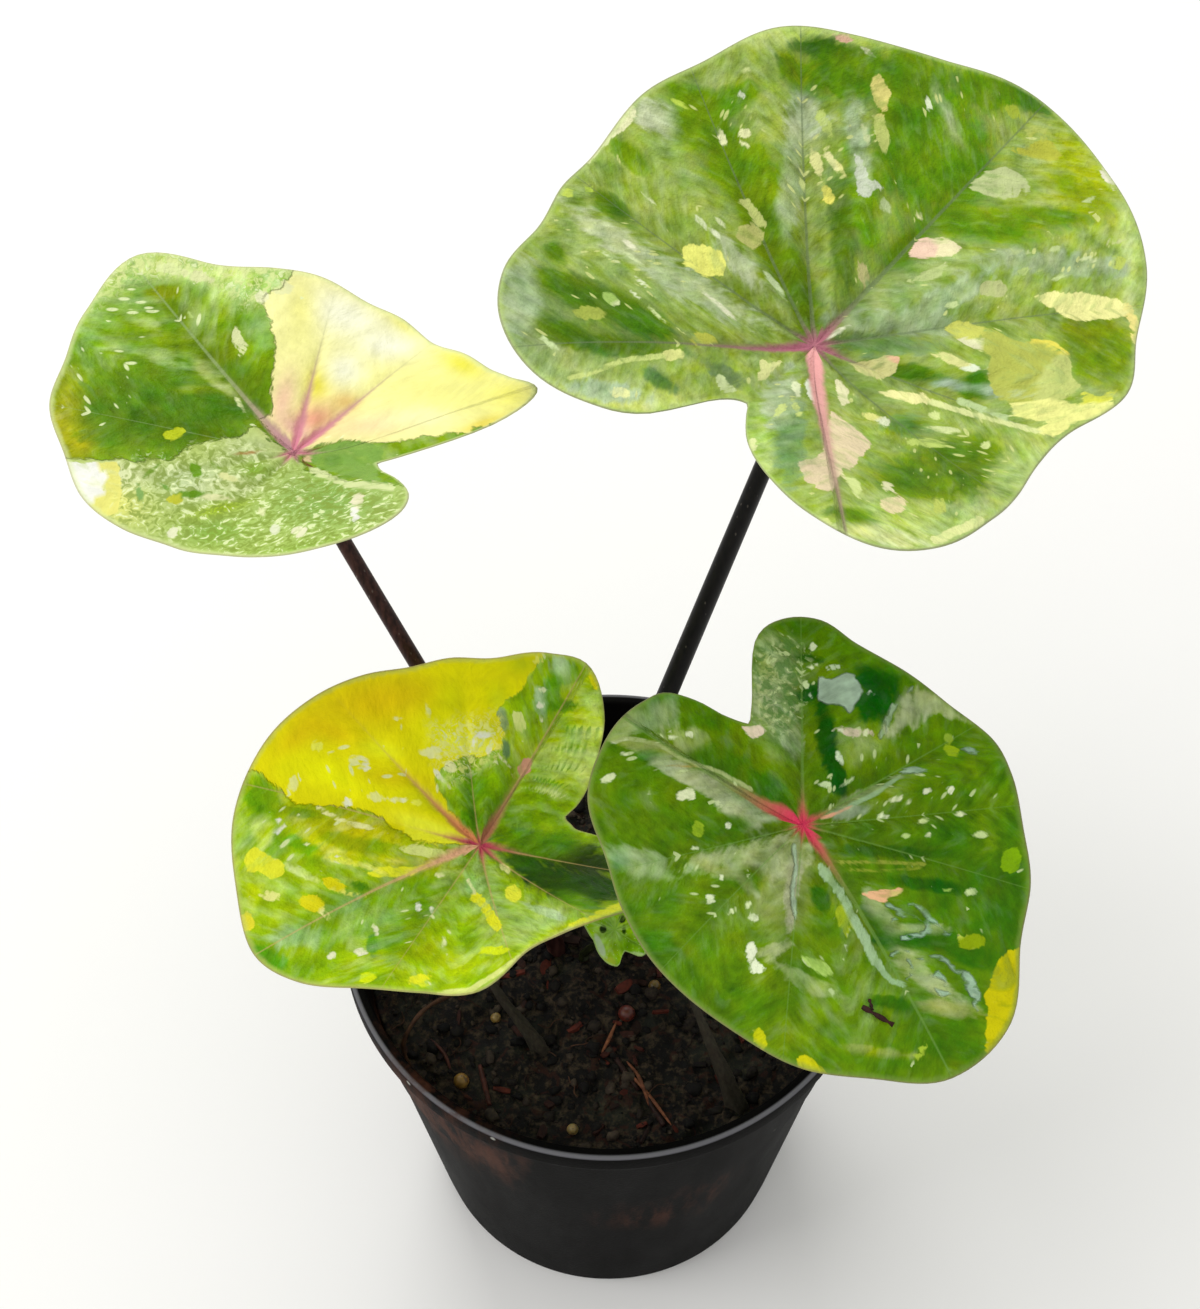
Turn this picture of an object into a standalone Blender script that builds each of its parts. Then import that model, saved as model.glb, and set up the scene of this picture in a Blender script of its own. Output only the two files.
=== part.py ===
"""A potted caladium: a tapered nursery pot full of soil, a tuber under the soil, four grown leaves and a
young one on their stalks, and two withered stalk stubs.

Units are metres, +Z is up. The origin is the centre of the pot's underside, on the surface it stands on.
Each leaf has a frame of its own at the joint with its stalk: x runs along the midrib to the tip, y to
the leaf's left as seen from above, and n out of its upper face.
"""

from math import atan2, cos, hypot, pi, radians, sin, sqrt
from random import Random

import bmesh
import bpy
from mathutils import Vector
from mathutils.noise import noise

MM = 0.001
GAP = 0.3 * MM  # between pieces that touch

# Pot
POT_HEIGHT = 136 * MM
RIM_RADIUS = 75 * MM
BASE_RADIUS = 55 * MM
WALL = 1.5 * MM
FLOOR = 2.2 * MM
RIM_DEPTH = 7 * MM
RIM_PROUD = 2.4 * MM
LEDGE_HEIGHT = 97 * MM  # the stacking ledge, a faint ring round the wall
LEDGE_STEP = 0.6 * MM
BASE_ROUNDING = 1.5 * MM
DRAIN_HOLES = 8
DRAIN_RADIUS = 4 * MM
DRAIN_CIRCLE = 43 * MM
RIM_ROUNDING = 1.0 * MM
POT_SIDES = 48

# Soil: its top is a slight mound at the crown, uneven all over, with clods, and lower at the wall
SOIL_TOP = 118 * MM
SOIL_RINGS = 12
WALL_DROP = 1.5 * MM
WALL_MARGIN = 6 * MM
MOUND = 2.5 * MM
MOUND_REACH = 25 * MM
HUMMOCK = 2.0 * MM
HUMMOCK_SIZE = 14 * MM
GRAIN = 0.9 * MM
GRAIN_SIZE = 5 * MM
CLODS = 70
CLOD_SIZES = (3, 8)
CHIPS = 16
CHIP_LENGTHS = (3, 6)
CHIP_THICKNESS = 1.6 * MM
SEED = 7

# Tuber, which all the stalks rise from
CROWN_X = -8 * MM
CROWN_Y = 6 * MM
TUBER_RADIUS = 19 * MM
TUBER_HALF_HEIGHT = 10 * MM
TUBER_DEPTH = 24 * MM  # of its middle under the soil's top
HOLE_CLEARANCE = 0.5 * MM
STRAIGHT = 4 * MM  # how far a stalk rises from its hole before it bends

# Blades
BLADE = 0.9 * MM
RIB = 0.9 * MM  # how far a main vein stands out below
SPAN = 60 * MM  # the length that the bends of a grown leaf are given for
YOUNG_SPAN = 14 * MM
BLADE_RINGS = 8
SPOKE_STEP = 8.5  # degrees between the lines of points that run from the joint to the margin
YOUNG_RINGS = 4
YOUNG_SPOKE_STEP = 18
VEIN_ROUNDING = 0.02  # softens the crease along the midrib
SINUS_ROUNDING = 0.04  # softens the rise of the lobes behind the joint
FLAT_RIM = 0.87  # the outermost part of the blade, as a share of the radius, has no bulges

# Directions of the margin's radii in degrees from the tip, the same on both halves
DIRECTIONS = (0, 15, 30, 45, 60, 75, 90, 105, 120, 135, 145, 155, 163, 170, 175)


class Leaf:
    """One leaf. Lengths are in millimetres and angles in degrees.

    joint: where the blade meets its stalk. heading: compass direction of the tip, from +X towards +Y.
    droop: how far the midrib points down at the joint. roll: turn about the midrib, left side up.
    arch: downward curve of the front. curl: curve of the basal lobes. cup, fold: curve and crease across
    the midrib. twist: left side up in front. lift: slope at which the lobes rise behind the joint.
    left, right: the margin's radius from the joint at each of DIRECTIONS. sinus: direction and radius of
    the notch between the lobes. veins: directions of the main veins, the last one into the basal lobe.
    quilt: bulge between the veins. wave: ripple of the margin. foot: where the stalk leaves the soil.
    lean: its tilt from upright there, towards the joint. radii: of the stalk, at the foot and at the top.
    rings, spoke_step: how finely the blade is divided.
    """

    def __init__(self, name, span=SPAN, rings=BLADE_RINGS, spoke_step=SPOKE_STEP, **values):
        self.name = name
        self.span = span
        self.rings = rings
        self.spoke_step = spoke_step
        self.__dict__.update(values)
        self.joint = Vector(self.joint) * MM


LEAVES = (
    Leaf(
        "leaf_1",
        joint=(51.7, 79.6, 283), heading=54, droop=2, roll=12,
        arch=0, curl=-0.25, cup=0.02, fold=0.2, twist=0.12, lift=0.65,
        left=(117, 103, 94, 88, 80, 77, 73, 73, 75, 85, 89, 87, 80, 69, 47),
        right=(117, 112, 101, 87, 80, 67, 64, 68, 76, 87, 89, 80, 68, 56, 45),
        sinus=(182, 40), veins_left=(40, 63, 100, 150), veins_right=(38, 79, 110, 149),
        quilt=1.3, wave=1.2, foot=(-7, 15), lean=12, radii=(3.3, 2.5),
    ),
    Leaf(
        "leaf_2",
        joint=(-79.5, 55.5, 270), heading=144, droop=-6, roll=0,
        arch=-0.05, curl=-0.2, cup=-0.5, fold=0.45, twist=-0.08, lift=1.05,
        left=(69, 63, 61, 56, 54, 50, 45, 45, 49, 56, 59, 57, 50, 39, 31),
        right=(69, 71, 57, 52, 49, 46, 46, 44, 45, 48, 53, 60, 53, 35, 27),
        sinus=(183, 26), veins_left=(30, 62, 98, 150), veins_right=(45, 75, 100, 140, 155),
        quilt=0.9, wave=0.8, foot=(-11, 6.3), lean=9, radii=(2.4, 1.9),
    ),
    Leaf(
        "leaf_3",
        joint=(-33.6, -13.3, 194.3), heading=-151, droop=-9, roll=-3,
        arch=0.42, curl=0, cup=0.28, fold=0.4, twist=0.05, lift=-0.22,
        left=(63, 60, 55, 54, 54, 43, 40, 41, 44, 46, 45, 41, 35, 28, 27),
        right=(63, 63, 64, 61, 55, 50, 46, 47, 49, 58, 63, 56, 45, 37, 31),
        sinus=(182, 27), veins_left=(35, 70, 105, 141), veins_right=(32, 72, 108, 144),
        quilt=0.9, wave=0.8, foot=(-15, -2), lean=5, radii=(2.3, 1.8),
    ),
    Leaf(
        "leaf_4",
        joint=(47.5, -26.1, 224.5), heading=-62, droop=-3, roll=0,
        arch=0.41, curl=-0.1, cup=-0.04, fold=0.04, twist=0.14, lift=0.34,
        left=(70, 69, 60, 57, 54, 54, 55, 53, 54, 55, 59, 58, 52, 37, 31),
        right=(70, 64, 61, 57, 55, 53, 51, 50, 53, 52, 51, 49, 47, 41, 35),
        sinus=(177, 30), veins_left=(43, 66, 95, 150), veins_right=(35, 70, 101, 147),
        quilt=1.0, wave=0.8, foot=(1, 1.5), lean=5, radii=(2.5, 2.0),
    ),
    Leaf(
        "young_leaf",
        span=YOUNG_SPAN, rings=YOUNG_RINGS, spoke_step=YOUNG_SPOKE_STEP,
        joint=(1.6, -13.5, 150), heading=112, droop=-4, roll=0,
        arch=0.4, curl=-0.3, cup=0.3, fold=0.2, twist=0, lift=0.2,
        left=(15, 14, 12, 10.5, 9, 8, 7.5, 7.5, 8.5, 10, 11, 11.5, 11.5, 9, 8),
        right=(15, 14.5, 13, 11.5, 10, 9, 8.5, 8.5, 9, 10, 11, 11.5, 11, 9, 8),
        sinus=(180, 7.5), veins_left=(45, 95, 150), veins_right=(45, 95, 150),
        quilt=0.3, wave=0.4, foot=(-7.2, -5), lean=7, radii=(1.3, 1.0),
    ),
)

# Withered stubs of old stalks: their line from the foot up in millimetres, and radii at foot and top
STUBS = {
    "old_stalk_left": (((-20, -32, 118), (-26, -28, 127), (-32, -24, 138), (-36, -22, 149)), (2.2, 1.0)),
    "old_stalk_right": (((35, -50, 118), (30, -44.5, 131), (25, -39, 144), (21.5, -35, 155)), (2.2, 1.0)),
}
STUB_DEPTH = 7 * MM

# What lies in the soil, by place in millimetres: fertiliser beads with their radius, twigs, a dry root
BEADS = (
    (-41, -43, 2.2),
    (-32, -23, 1.5),
    (13, -14, 1.7),
    (-10, -58, 1.6),
    (5, -23, 2.4),
    (36, 30, 1.8),
)
TWIGS = (
    ((0, -33), (8, -46)),
    ((9, -44), (15, -57)),
    ((-36, -38), (-33, -50)),
    ((20, 40), (34, 46)),
)
TWIG_RADIUS = 0.8 * MM
ROOT = (
    (-55, -39, 114),
    (-57, -35, 124),
    (-52, -28, 129),
    (-45, -22, 127),
    (-39, -17, 120),
    (-36, -14, 114),
)
ROOT_RADIUS = 0.7 * MM


def material(name, colour, roughness, metallic=0.0):
    """A Principled material. colour is linear red, green, blue."""
    made = bpy.data.materials.new(name)
    made.use_nodes = True
    shader = made.node_tree.nodes["Principled BSDF"]
    shader.inputs["Base Color"].default_value = (*colour, 1)
    shader.inputs["Roughness"].default_value = roughness
    shader.inputs["Metallic"].default_value = metallic
    return made


def mesh_object(name, points, faces, finish=None):
    """An object made of these points and faces, shaded smooth where it is round."""
    mesh = bpy.data.meshes.new(name)
    mesh.from_pydata([tuple(point) for point in points], [], faces)
    mesh.validate()
    mesh.shade_smooth()
    mesh.set_sharp_from_angle(angle=radians(40))
    made = bpy.data.objects.new(name, mesh)
    bpy.context.scene.collection.objects.link(made)
    if finish:
        mesh.materials.append(finish)
    return made


def combine(target, pieces, operation):
    """Joins the pieces to the target, or cuts them out of it, one by one, and removes them."""
    bpy.context.view_layer.objects.active = target
    for piece in pieces:
        step = target.modifiers.new(operation, "BOOLEAN")
        step.operation = operation
        step.solver = "EXACT"
        step.object = piece
        bpy.ops.object.modifier_apply(modifier=step.name)
        bpy.data.objects.remove(piece)


def lathe(name, profile, sides, finish=None):
    """A turned solid. profile is a list of (radius, height) from the axis, round the solid, to the axis."""
    points = [Vector((0, 0, profile[0][1]))]
    for radius, height in profile[1:-1]:
        for side in range(sides):
            turn = 2 * pi * side / sides
            points.append(Vector((radius * cos(turn), radius * sin(turn), height)))
    points.append(Vector((0, 0, profile[-1][1])))
    last = len(points) - 1
    rings = len(profile) - 2
    faces = []
    for side in range(sides):
        after = (side + 1) % sides
        faces.append((0, 1 + after, 1 + side))
        for ring in range(rings - 1):
            low = 1 + ring * sides
            high = low + sides
            faces.append((low + side, low + after, high + after, high + side))
        top = 1 + (rings - 1) * sides
        faces.append((top + side, top + after, last))
    return mesh_object(name, points, faces, finish)


def tube_rings(path, radii, sides):
    """Rings of points round a path, without twist. radii holds one radius for each point of the path."""
    rings = []
    across = None
    for index, centre in enumerate(path):
        before = path[max(index - 1, 0)]
        after = path[min(index + 1, len(path) - 1)]
        along = (after - before).normalized()
        if across is None:
            across = along.orthogonal()
        across = (across - along * across.dot(along)).normalized()
        other = along.cross(across)
        ring = []
        for side in range(sides):
            turn = 2 * pi * side / sides
            ring.append(centre + (across * cos(turn) + other * sin(turn)) * radii[index])
        rings.append(ring)
    return rings


def tube(name, rings, finish=None):
    """A closed solid through rings of points, with flat ends."""
    sides = len(rings[0])
    points = [point for ring in rings for point in ring]
    faces = [tuple(reversed(range(sides)))]
    for ring in range(len(rings) - 1):
        for side in range(sides):
            after = (side + 1) % sides
            low = ring * sides
            high = low + sides
            faces.append((low + side, low + after, high + after, high + side))
    start = (len(rings) - 1) * sides
    faces.append(tuple(range(start, start + sides)))
    return mesh_object(name, points, faces, finish)


def bezier(start, start_pull, end_pull, end, count):
    """Points along a cubic Bezier curve, both ends included."""
    points = []
    for index in range(count):
        t = index / (count - 1)
        s = 1 - t
        points.append(start * s**3 + start_pull * (3 * s * s * t) + end_pull * (3 * s * t * t) + end * t**3)
    return points


def smooth_path(stations, steps):
    """A Catmull-Rom curve through the stations, with this many steps between two of them."""
    padded = [stations[0] * 2 - stations[1], *stations, stations[-1] * 2 - stations[-2]]
    points = []
    for index in range(1, len(padded) - 2):
        a, b, c, d = padded[index - 1 : index + 3]
        for step in range(steps):
            t = step / steps
            points.append(
                (b * 2 + (c - a) * t + (a * 2 - b * 5 + c * 4 - d) * t**2 + (b * 3 - a - c * 3 + d) * t**3) / 2
            )
    points.append(stations[-1].copy())
    return points


def blend(first, last, count):
    """Evenly spaced values from first to last."""
    return [first + (last - first) * index / (count - 1) for index in range(count)]


# Pot


def outer_radius(height):
    """The wall's outer face, below the rim: a plain taper, stepped in below the stacking ledge."""
    top = RIM_RADIUS - RIM_PROUD
    plain = BASE_RADIUS + (top - BASE_RADIUS) * height / (POT_HEIGHT - RIM_DEPTH)
    return plain - (LEDGE_STEP if height < LEDGE_HEIGHT else 0)


def inner_radius(height):
    taper = (RIM_RADIUS - RIM_PROUD - BASE_RADIUS) / (POT_HEIGHT - RIM_DEPTH)
    return BASE_RADIUS - LEDGE_STEP - WALL + taper * height


def pot_profile():
    rim_low = POT_HEIGHT - RIM_DEPTH
    return [
        (0, 0),
        (BASE_RADIUS - LEDGE_STEP - BASE_ROUNDING, 0),
        (outer_radius(BASE_ROUNDING), BASE_ROUNDING),
        (outer_radius(LEDGE_HEIGHT - 2 * LEDGE_STEP), LEDGE_HEIGHT - 2 * LEDGE_STEP),
        (outer_radius(LEDGE_HEIGHT), LEDGE_HEIGHT),
        (outer_radius(rim_low), rim_low),
        (RIM_RADIUS - RIM_ROUNDING, rim_low),
        (RIM_RADIUS, rim_low + RIM_ROUNDING),
        (RIM_RADIUS, POT_HEIGHT - RIM_ROUNDING),
        (RIM_RADIUS - RIM_ROUNDING, POT_HEIGHT),
        (inner_radius(POT_HEIGHT) + RIM_ROUNDING, POT_HEIGHT),
        (inner_radius(POT_HEIGHT - RIM_ROUNDING), POT_HEIGHT - RIM_ROUNDING),
        (inner_radius(FLOOR), FLOOR),
        (0, FLOOR),
    ]


def make_pot():
    pot = lathe("pot", pot_profile(), POT_SIDES, material("pot_plastic", (0.012, 0.012, 0.013), 0.45))
    holes = []
    for index in range(DRAIN_HOLES):
        turn = 2 * pi * (index + 0.5) / DRAIN_HOLES
        place = Vector((DRAIN_CIRCLE * cos(turn), DRAIN_CIRCLE * sin(turn), 0))
        ends = (place - Vector((0, 0, FLOOR)), place + Vector((0, 0, 2 * FLOOR)))
        holes.append(tube("drain_hole", tube_rings(ends, (DRAIN_RADIUS, DRAIN_RADIUS), 12)))
    combine(pot, holes, "DIFFERENCE")


# Soil


def clods():
    """Places, sizes and heights of the soil's clods, in metres."""
    draw = Random(SEED)
    found = []
    for _ in range(CLODS):
        reach = 0.93 * inner_radius(SOIL_TOP) * sqrt(draw.random())
        turn = 2 * pi * draw.random()
        size = draw.uniform(*CLOD_SIZES) * MM
        found.append((reach * cos(turn), reach * sin(turn), size, 0.35 * size * draw.uniform(0.3, 1)))
    return found


def soil_height(x, y, lumps):
    """The height of the soil's top. lumps are the clods."""
    mound = MOUND * 2 ** -((hypot(x - CROWN_X, y - CROWN_Y) / MOUND_REACH) ** 2)
    uneven = HUMMOCK * noise(Vector((x, y, 0)) / HUMMOCK_SIZE)
    uneven += GRAIN * noise(Vector((x, y, SOIL_TOP)) / GRAIN_SIZE)
    raised = 0
    for clod_x, clod_y, size, height in lumps:
        away = hypot(x - clod_x, y - clod_y) / size
        raised = max(raised, height * max(0, 1 - away * away))
    edge = min(1, (inner_radius(SOIL_TOP) - hypot(x, y)) / WALL_MARGIN)
    return SOIL_TOP - WALL_DROP + (mound + uneven + raised) * max(edge, 0)


def make_soil_body(lumps, finish):
    """The soil without what lies in it: the pot's inside, with an uneven top."""
    points = []
    faces = []
    for ring in range(1, SOIL_RINGS + 1):
        for side in range(POT_SIDES):
            turn = 2 * pi * side / POT_SIDES
            reach = (inner_radius(SOIL_TOP - WALL_DROP) - GAP) * ring / SOIL_RINGS
            x = reach * cos(turn)
            y = reach * sin(turn)
            points.append(Vector((x, y, soil_height(x, y, lumps))))
    for side in range(POT_SIDES):
        turn = 2 * pi * side / POT_SIDES
        reach = inner_radius(FLOOR + GAP) - GAP
        points.append(Vector((reach * cos(turn), reach * sin(turn), FLOOR + GAP)))
    top = len(points)
    points.append(Vector((0, 0, soil_height(0, 0, lumps))))
    bottom = len(points)
    points.append(Vector((0, 0, FLOOR + GAP)))
    for side in range(POT_SIDES):
        after = (side + 1) % POT_SIDES
        faces.append((top, side, after))
        for ring in range(SOIL_RINGS):
            low = ring * POT_SIDES
            high = low + POT_SIDES
            faces.append((low + side, high + side, high + after))
            faces.append((low + side, high + after, low + after))
        last = SOIL_RINGS * POT_SIDES
        faces.append((last + side, bottom, last + after))
    return mesh_object("soil", points, faces, finish)


def bead(x, y, radius, lumps):
    mesh = bpy.data.meshes.new("bead")
    shape = bmesh.new()
    bmesh.ops.create_icosphere(shape, subdivisions=1, radius=radius)
    bmesh.ops.translate(shape, verts=shape.verts, vec=(x, y, soil_height(x, y, lumps) + 0.45 * radius))
    shape.to_mesh(mesh)
    shape.free()
    made = bpy.data.objects.new("bead", mesh)
    bpy.context.scene.collection.objects.link(made)
    return made


def chip(draw, x, y, lumps):
    """A flake of bark: a slanting block, half sunk in the soil."""
    long = draw.uniform(*CHIP_LENGTHS) * MM
    wide = long * draw.uniform(0.4, 0.6)
    thick = CHIP_THICKNESS
    made = mesh_object(
        "chip",
        [
            Vector((long * sx, wide * sy * (1 - 0.3 * sx), thick * sz))
            for sx in (-0.5, 0.5)
            for sy in (-0.5, 0.5)
            for sz in (-0.5, 0.5)
        ],
        [(0, 1, 3, 2), (4, 6, 7, 5), (0, 4, 5, 1), (2, 3, 7, 6), (0, 2, 6, 4), (1, 5, 7, 3)],
    )
    made.location = (x, y, soil_height(x, y, lumps) + 0.2 * thick)
    made.rotation_euler = (draw.uniform(-0.5, 0.5), draw.uniform(-0.5, 0.5), draw.uniform(0, 2 * pi))
    return made


def chip_places(draw):
    """Places for the chips, clear of the stalks, the beads and each other."""
    taken = [(stalk_foot(leaf).x, stalk_foot(leaf).y, 9 * MM) for leaf in LEAVES]
    taken += [(line[0][0] * MM, line[0][1] * MM, 9 * MM) for line, _ in STUBS.values()]
    taken += [(x * MM, y * MM, 7 * MM) for x, y, _ in BEADS]
    taken += [(x * MM, y * MM, 8 * MM) for twig in TWIGS for x, y in twig]
    taken += [(x * MM, y * MM, 7 * MM) for x, y, _ in (ROOT[0], ROOT[-1])]
    places = []
    while len(places) < CHIPS:
        reach = (inner_radius(SOIL_TOP) - 7 * MM) * sqrt(draw.random())
        turn = 2 * pi * draw.random()
        x = reach * cos(turn)
        y = reach * sin(turn)
        if all(hypot(x - other_x, y - other_y) > clear for other_x, other_y, clear in taken):
            places.append((x, y))
            taken.append((x, y, 7 * MM))
    return places


def twig(ends, lumps):
    """A straight bit of twig that lies on the soil, sunk to its middle."""
    path = []
    for share in (0, 0.5, 1):
        x = (ends[0][0] + (ends[1][0] - ends[0][0]) * share) * MM
        y = (ends[0][1] + (ends[1][1] - ends[0][1]) * share) * MM
        path.append(Vector((x, y, soil_height(x, y, lumps) + 0.3 * TWIG_RADIUS)))
    return tube("twig", tube_rings(path, [TWIG_RADIUS] * 3, 6))


def dry_root():
    path = smooth_path([Vector(place) * MM for place in ROOT], 3)
    return tube("root", tube_rings(path, [ROOT_RADIUS] * len(path), 5))


def make_soil():
    lumps = clods()
    soil = make_soil_body(lumps, material("potting_soil", (0.018, 0.013, 0.010), 0.95))
    draw = Random(SEED + 1)
    pieces = [bead(x * MM, y * MM, radius * MM, lumps) for x, y, radius in BEADS]
    pieces += [chip(draw, x, y, lumps) for x, y in chip_places(draw)]
    pieces += [twig(ends, lumps) for ends in TWIGS]
    pieces.append(dry_root())
    bpy.context.view_layer.update()
    combine(soil, pieces, "UNION")
    cutters = [tuber_shape("tuber_hollow", HOLE_CLEARANCE)]
    cutters += [stalk_hole(leaf) for leaf in LEAVES]
    cutters += [stub_hole(*stub) for stub in STUBS.values()]
    combine(soil, cutters, "DIFFERENCE")


# Tuber


def tuber_shape(name, grown=0.0, finish=None):
    """The tuber, a flattened ball, or the hollow that it lies in."""
    steps = 9
    profile = []
    for step in range(steps + 1):
        turn = pi * step / steps
        profile.append(
            (
                (TUBER_RADIUS + grown) * sin(turn),
                -(TUBER_HALF_HEIGHT + grown) * cos(turn),
            )
        )
    made = lathe(name, profile, 20, finish)
    made.location = (CROWN_X, CROWN_Y, SOIL_TOP - TUBER_DEPTH)
    return made


def tuber_top(reach):
    """The height of the tuber's upper face at this distance from its middle."""
    return SOIL_TOP - TUBER_DEPTH + TUBER_HALF_HEIGHT * sqrt(1 - (reach / TUBER_RADIUS) ** 2)


# Leaves


def leaf_frame(leaf):
    heading = radians(leaf.heading)
    droop = radians(leaf.droop)
    roll = radians(leaf.roll)
    x = Vector((cos(heading) * cos(droop), sin(heading) * cos(droop), -sin(droop)))
    level_n = Vector((cos(heading) * sin(droop), sin(heading) * sin(droop), cos(droop)))
    level_y = level_n.cross(x)
    y = level_y * cos(roll) + level_n * sin(roll)
    return x, y, x.cross(y)


def bend(leaf, x, y):
    """How far the blade stands out of its plane at x, y, from its large curves alone."""
    x = x / leaf.span
    y = y / leaf.span
    front = max(x, 0)
    back = min(x, 0)
    height = -leaf.arch * front**2 / 2 + leaf.curl * back**2 / 2 + leaf.cup * y**2 / 2
    height += leaf.fold * (sqrt(y * y + VEIN_ROUNDING) - sqrt(VEIN_ROUNDING)) + leaf.twist * x * y
    height += leaf.lift * (sqrt(back * back + SINUS_ROUNDING) - sqrt(SINUS_ROUNDING))
    return height * leaf.span


def bend_normal(leaf, x, y):
    """The blade's upward normal in its own frame."""
    step = 0.5 * MM
    slope_x = (bend(leaf, x + step, y) - bend(leaf, x - step, y)) / (2 * step)
    slope_y = (bend(leaf, x, y + step) - bend(leaf, x, y - step)) / (2 * step)
    return Vector((-slope_x, -slope_y, 1)).normalized()


def margin_keys(leaf):
    """Directions and radii of the margin all round, in degrees from -175 to the sinus, and metres."""
    keys = [(-direction, radius) for direction, radius in zip(DIRECTIONS, leaf.right)][:0:-1]
    keys += zip(DIRECTIONS, leaf.left)
    keys.append(leaf.sinus)
    return [(direction, radius * MM) for direction, radius in keys]


def margin_radius(keys, direction):
    """The margin's radius at a direction in degrees: a smooth closed curve through the keys."""
    turned = (direction - keys[0][0]) % 360 + keys[0][0]
    count = len(keys)
    index = max(i for i in range(count) if keys[i][0] <= turned)

    def key(i):
        rounds, place = divmod(i, count)
        return keys[place][0] + 360 * rounds, keys[place][1]

    (a0, r0), (a1, r1), (a2, r2), (a3, r3) = (key(index + step) for step in (-1, 0, 1, 2))
    t = (turned - a1) / (a2 - a1)
    slope_1 = (r2 - r0) / (a2 - a0) * (a2 - a1)
    slope_2 = (r3 - r1) / (a3 - a1) * (a2 - a1)
    start = r1 * (1 + 2 * t) * (1 - t) ** 2 + slope_1 * t * (1 - t) ** 2
    return start + r2 * t * t * (3 - 2 * t) - slope_2 * t * t * (1 - t)


def spokes(leaf):
    """Lines from the joint to the margin: direction, place between two veins from 0 to 1, whether a vein."""
    veins = [-direction for direction in reversed(leaf.veins_right)] + [0, *leaf.veins_left]
    stations = [*veins, leaf.sinus[0], veins[0] + 360]
    found = []
    for first, last in zip(stations, stations[1:]):
        steps = max(2, round((last - first) / leaf.spoke_step))
        for step in range(steps):
            share = step / steps
            found.append((first + (last - first) * share, share, step == 0 and first in veins))
    return found


def relief(leaf, direction, share, reach):
    """Bulges between the veins and ripple of the margin, in metres. reach runs from joint to margin."""
    bulge = 0
    if reach < FLAT_RIM:
        bulge = leaf.quilt * sin(pi * share) * sin(pi * reach / FLAT_RIM) ** 0.7
    turn = radians(direction)
    ripple = leaf.wave * reach**3 * (0.6 * sin(5 * turn + leaf.heading) + 0.4 * sin(11 * turn))
    return (bulge + ripple) * MM


def make_blade(leaf, finish):
    along, left, up = leaf_frame(leaf)
    keys = margin_keys(leaf)
    lines = spokes(leaf)
    count = len(lines)

    def place(x, y, height, below):
        """A point of the upper face, or of the lower one, which lies this far below it."""
        normal = bend_normal(leaf, x, y)
        local = Vector((x, y, bend(leaf, x, y) + height)) - normal * below
        return leaf.joint + along * local.x + left * local.y + up * local.z

    rib = RIB * leaf.span / SPAN
    upper = [place(0, 0, 0, 0)]
    lower = [place(0, 0, 0, BLADE + rib)]
    for ring in range(1, leaf.rings + 1):
        reach = ring / leaf.rings
        for direction, share, is_vein in lines:
            radius = margin_radius(keys, direction) * reach
            x = radius * cos(radians(direction))
            y = radius * sin(radians(direction))
            height = relief(leaf, direction, share, reach)
            upper.append(place(x, y, height, 0))
            lower.append(place(x, y, height, BLADE + (rib * (1 - reach) ** 0.6 if is_vein else 0)))
    points = upper + lower
    under = len(upper)
    faces = []
    for spoke in range(count):
        after = (spoke + 1) % count
        faces.append((0, 1 + spoke, 1 + after))
        for ring in range(leaf.rings - 1):
            a = 1 + ring * count + spoke
            b = 1 + ring * count + after
            faces.append((a, a + count, b + count))
            faces.append((a, b + count, b))
        edge = 1 + (leaf.rings - 1) * count
        faces.append((edge + spoke, under + edge + spoke, under + edge + after))
        faces.append((edge + spoke, under + edge + after, edge + after))
    for face in [face for face in faces if max(face) < under]:
        faces.append(tuple(under + corner for corner in reversed(face)))
    return mesh_object(leaf.name + "_blade", points, faces, finish)


# Stalks


def stalk_foot(leaf):
    """Where the stalk leaves the soil."""
    return Vector((leaf.foot[0] * MM, leaf.foot[1] * MM, SOIL_TOP))


def stalk_rise(leaf):
    """The stalk's direction where it leaves the soil."""
    foot = stalk_foot(leaf)
    turn = atan2(leaf.joint.y - foot.y, leaf.joint.x - foot.x)
    lean = radians(leaf.lean)
    return Vector((sin(lean) * cos(turn), sin(lean) * sin(turn), cos(lean)))


def stalk_root(leaf):
    """The stalk's lower end, just clear of the tuber."""
    foot = stalk_foot(leaf)
    rise = stalk_rise(leaf)
    deepest = foot - rise * ((SOIL_TOP - tuber_top(0)) / rise.z)
    radius = leaf.radii[0] * MM
    inner_edge = hypot(deepest.x - CROWN_X, deepest.y - CROWN_Y) - radius
    tilt = radius * sin(radians(leaf.lean))
    depth = SOIL_TOP - tuber_top(max(0, inner_edge)) - tilt - 2 * GAP
    return foot - rise * (depth / rise.z)


def make_stalk(leaf, finish):
    _, _, up = leaf_frame(leaf)
    rise = stalk_rise(leaf)
    start = stalk_foot(leaf) + rise * STRAIGHT
    rib = RIB * leaf.span / SPAN
    seat = leaf.joint - up * (BLADE + rib + 1.5 * GAP)
    length = (seat - start).length
    straight = (seat - start).normalized()
    leave = (rise + straight).normalized()
    arrive = (straight + up * 0.06).normalized()
    curve = bezier(start, start + leave * 0.07 * length, seat - arrive * 0.4 * length, seat, 15)
    path = [stalk_root(leaf), *curve]
    radii = [leaf.radii[0] * MM, *blend(leaf.radii[0] * MM, leaf.radii[1] * MM, len(curve))]
    rings = tube_rings(path, radii, 10)
    # The top end lies flat against the blade's underside.
    end = (path[-1] - path[-2]).normalized()
    rings[-1] = [point + end * ((seat - point).dot(up) / end.dot(up)) for point in rings[-1]]
    return tube(leaf.name + "_stalk", rings, finish)


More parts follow.
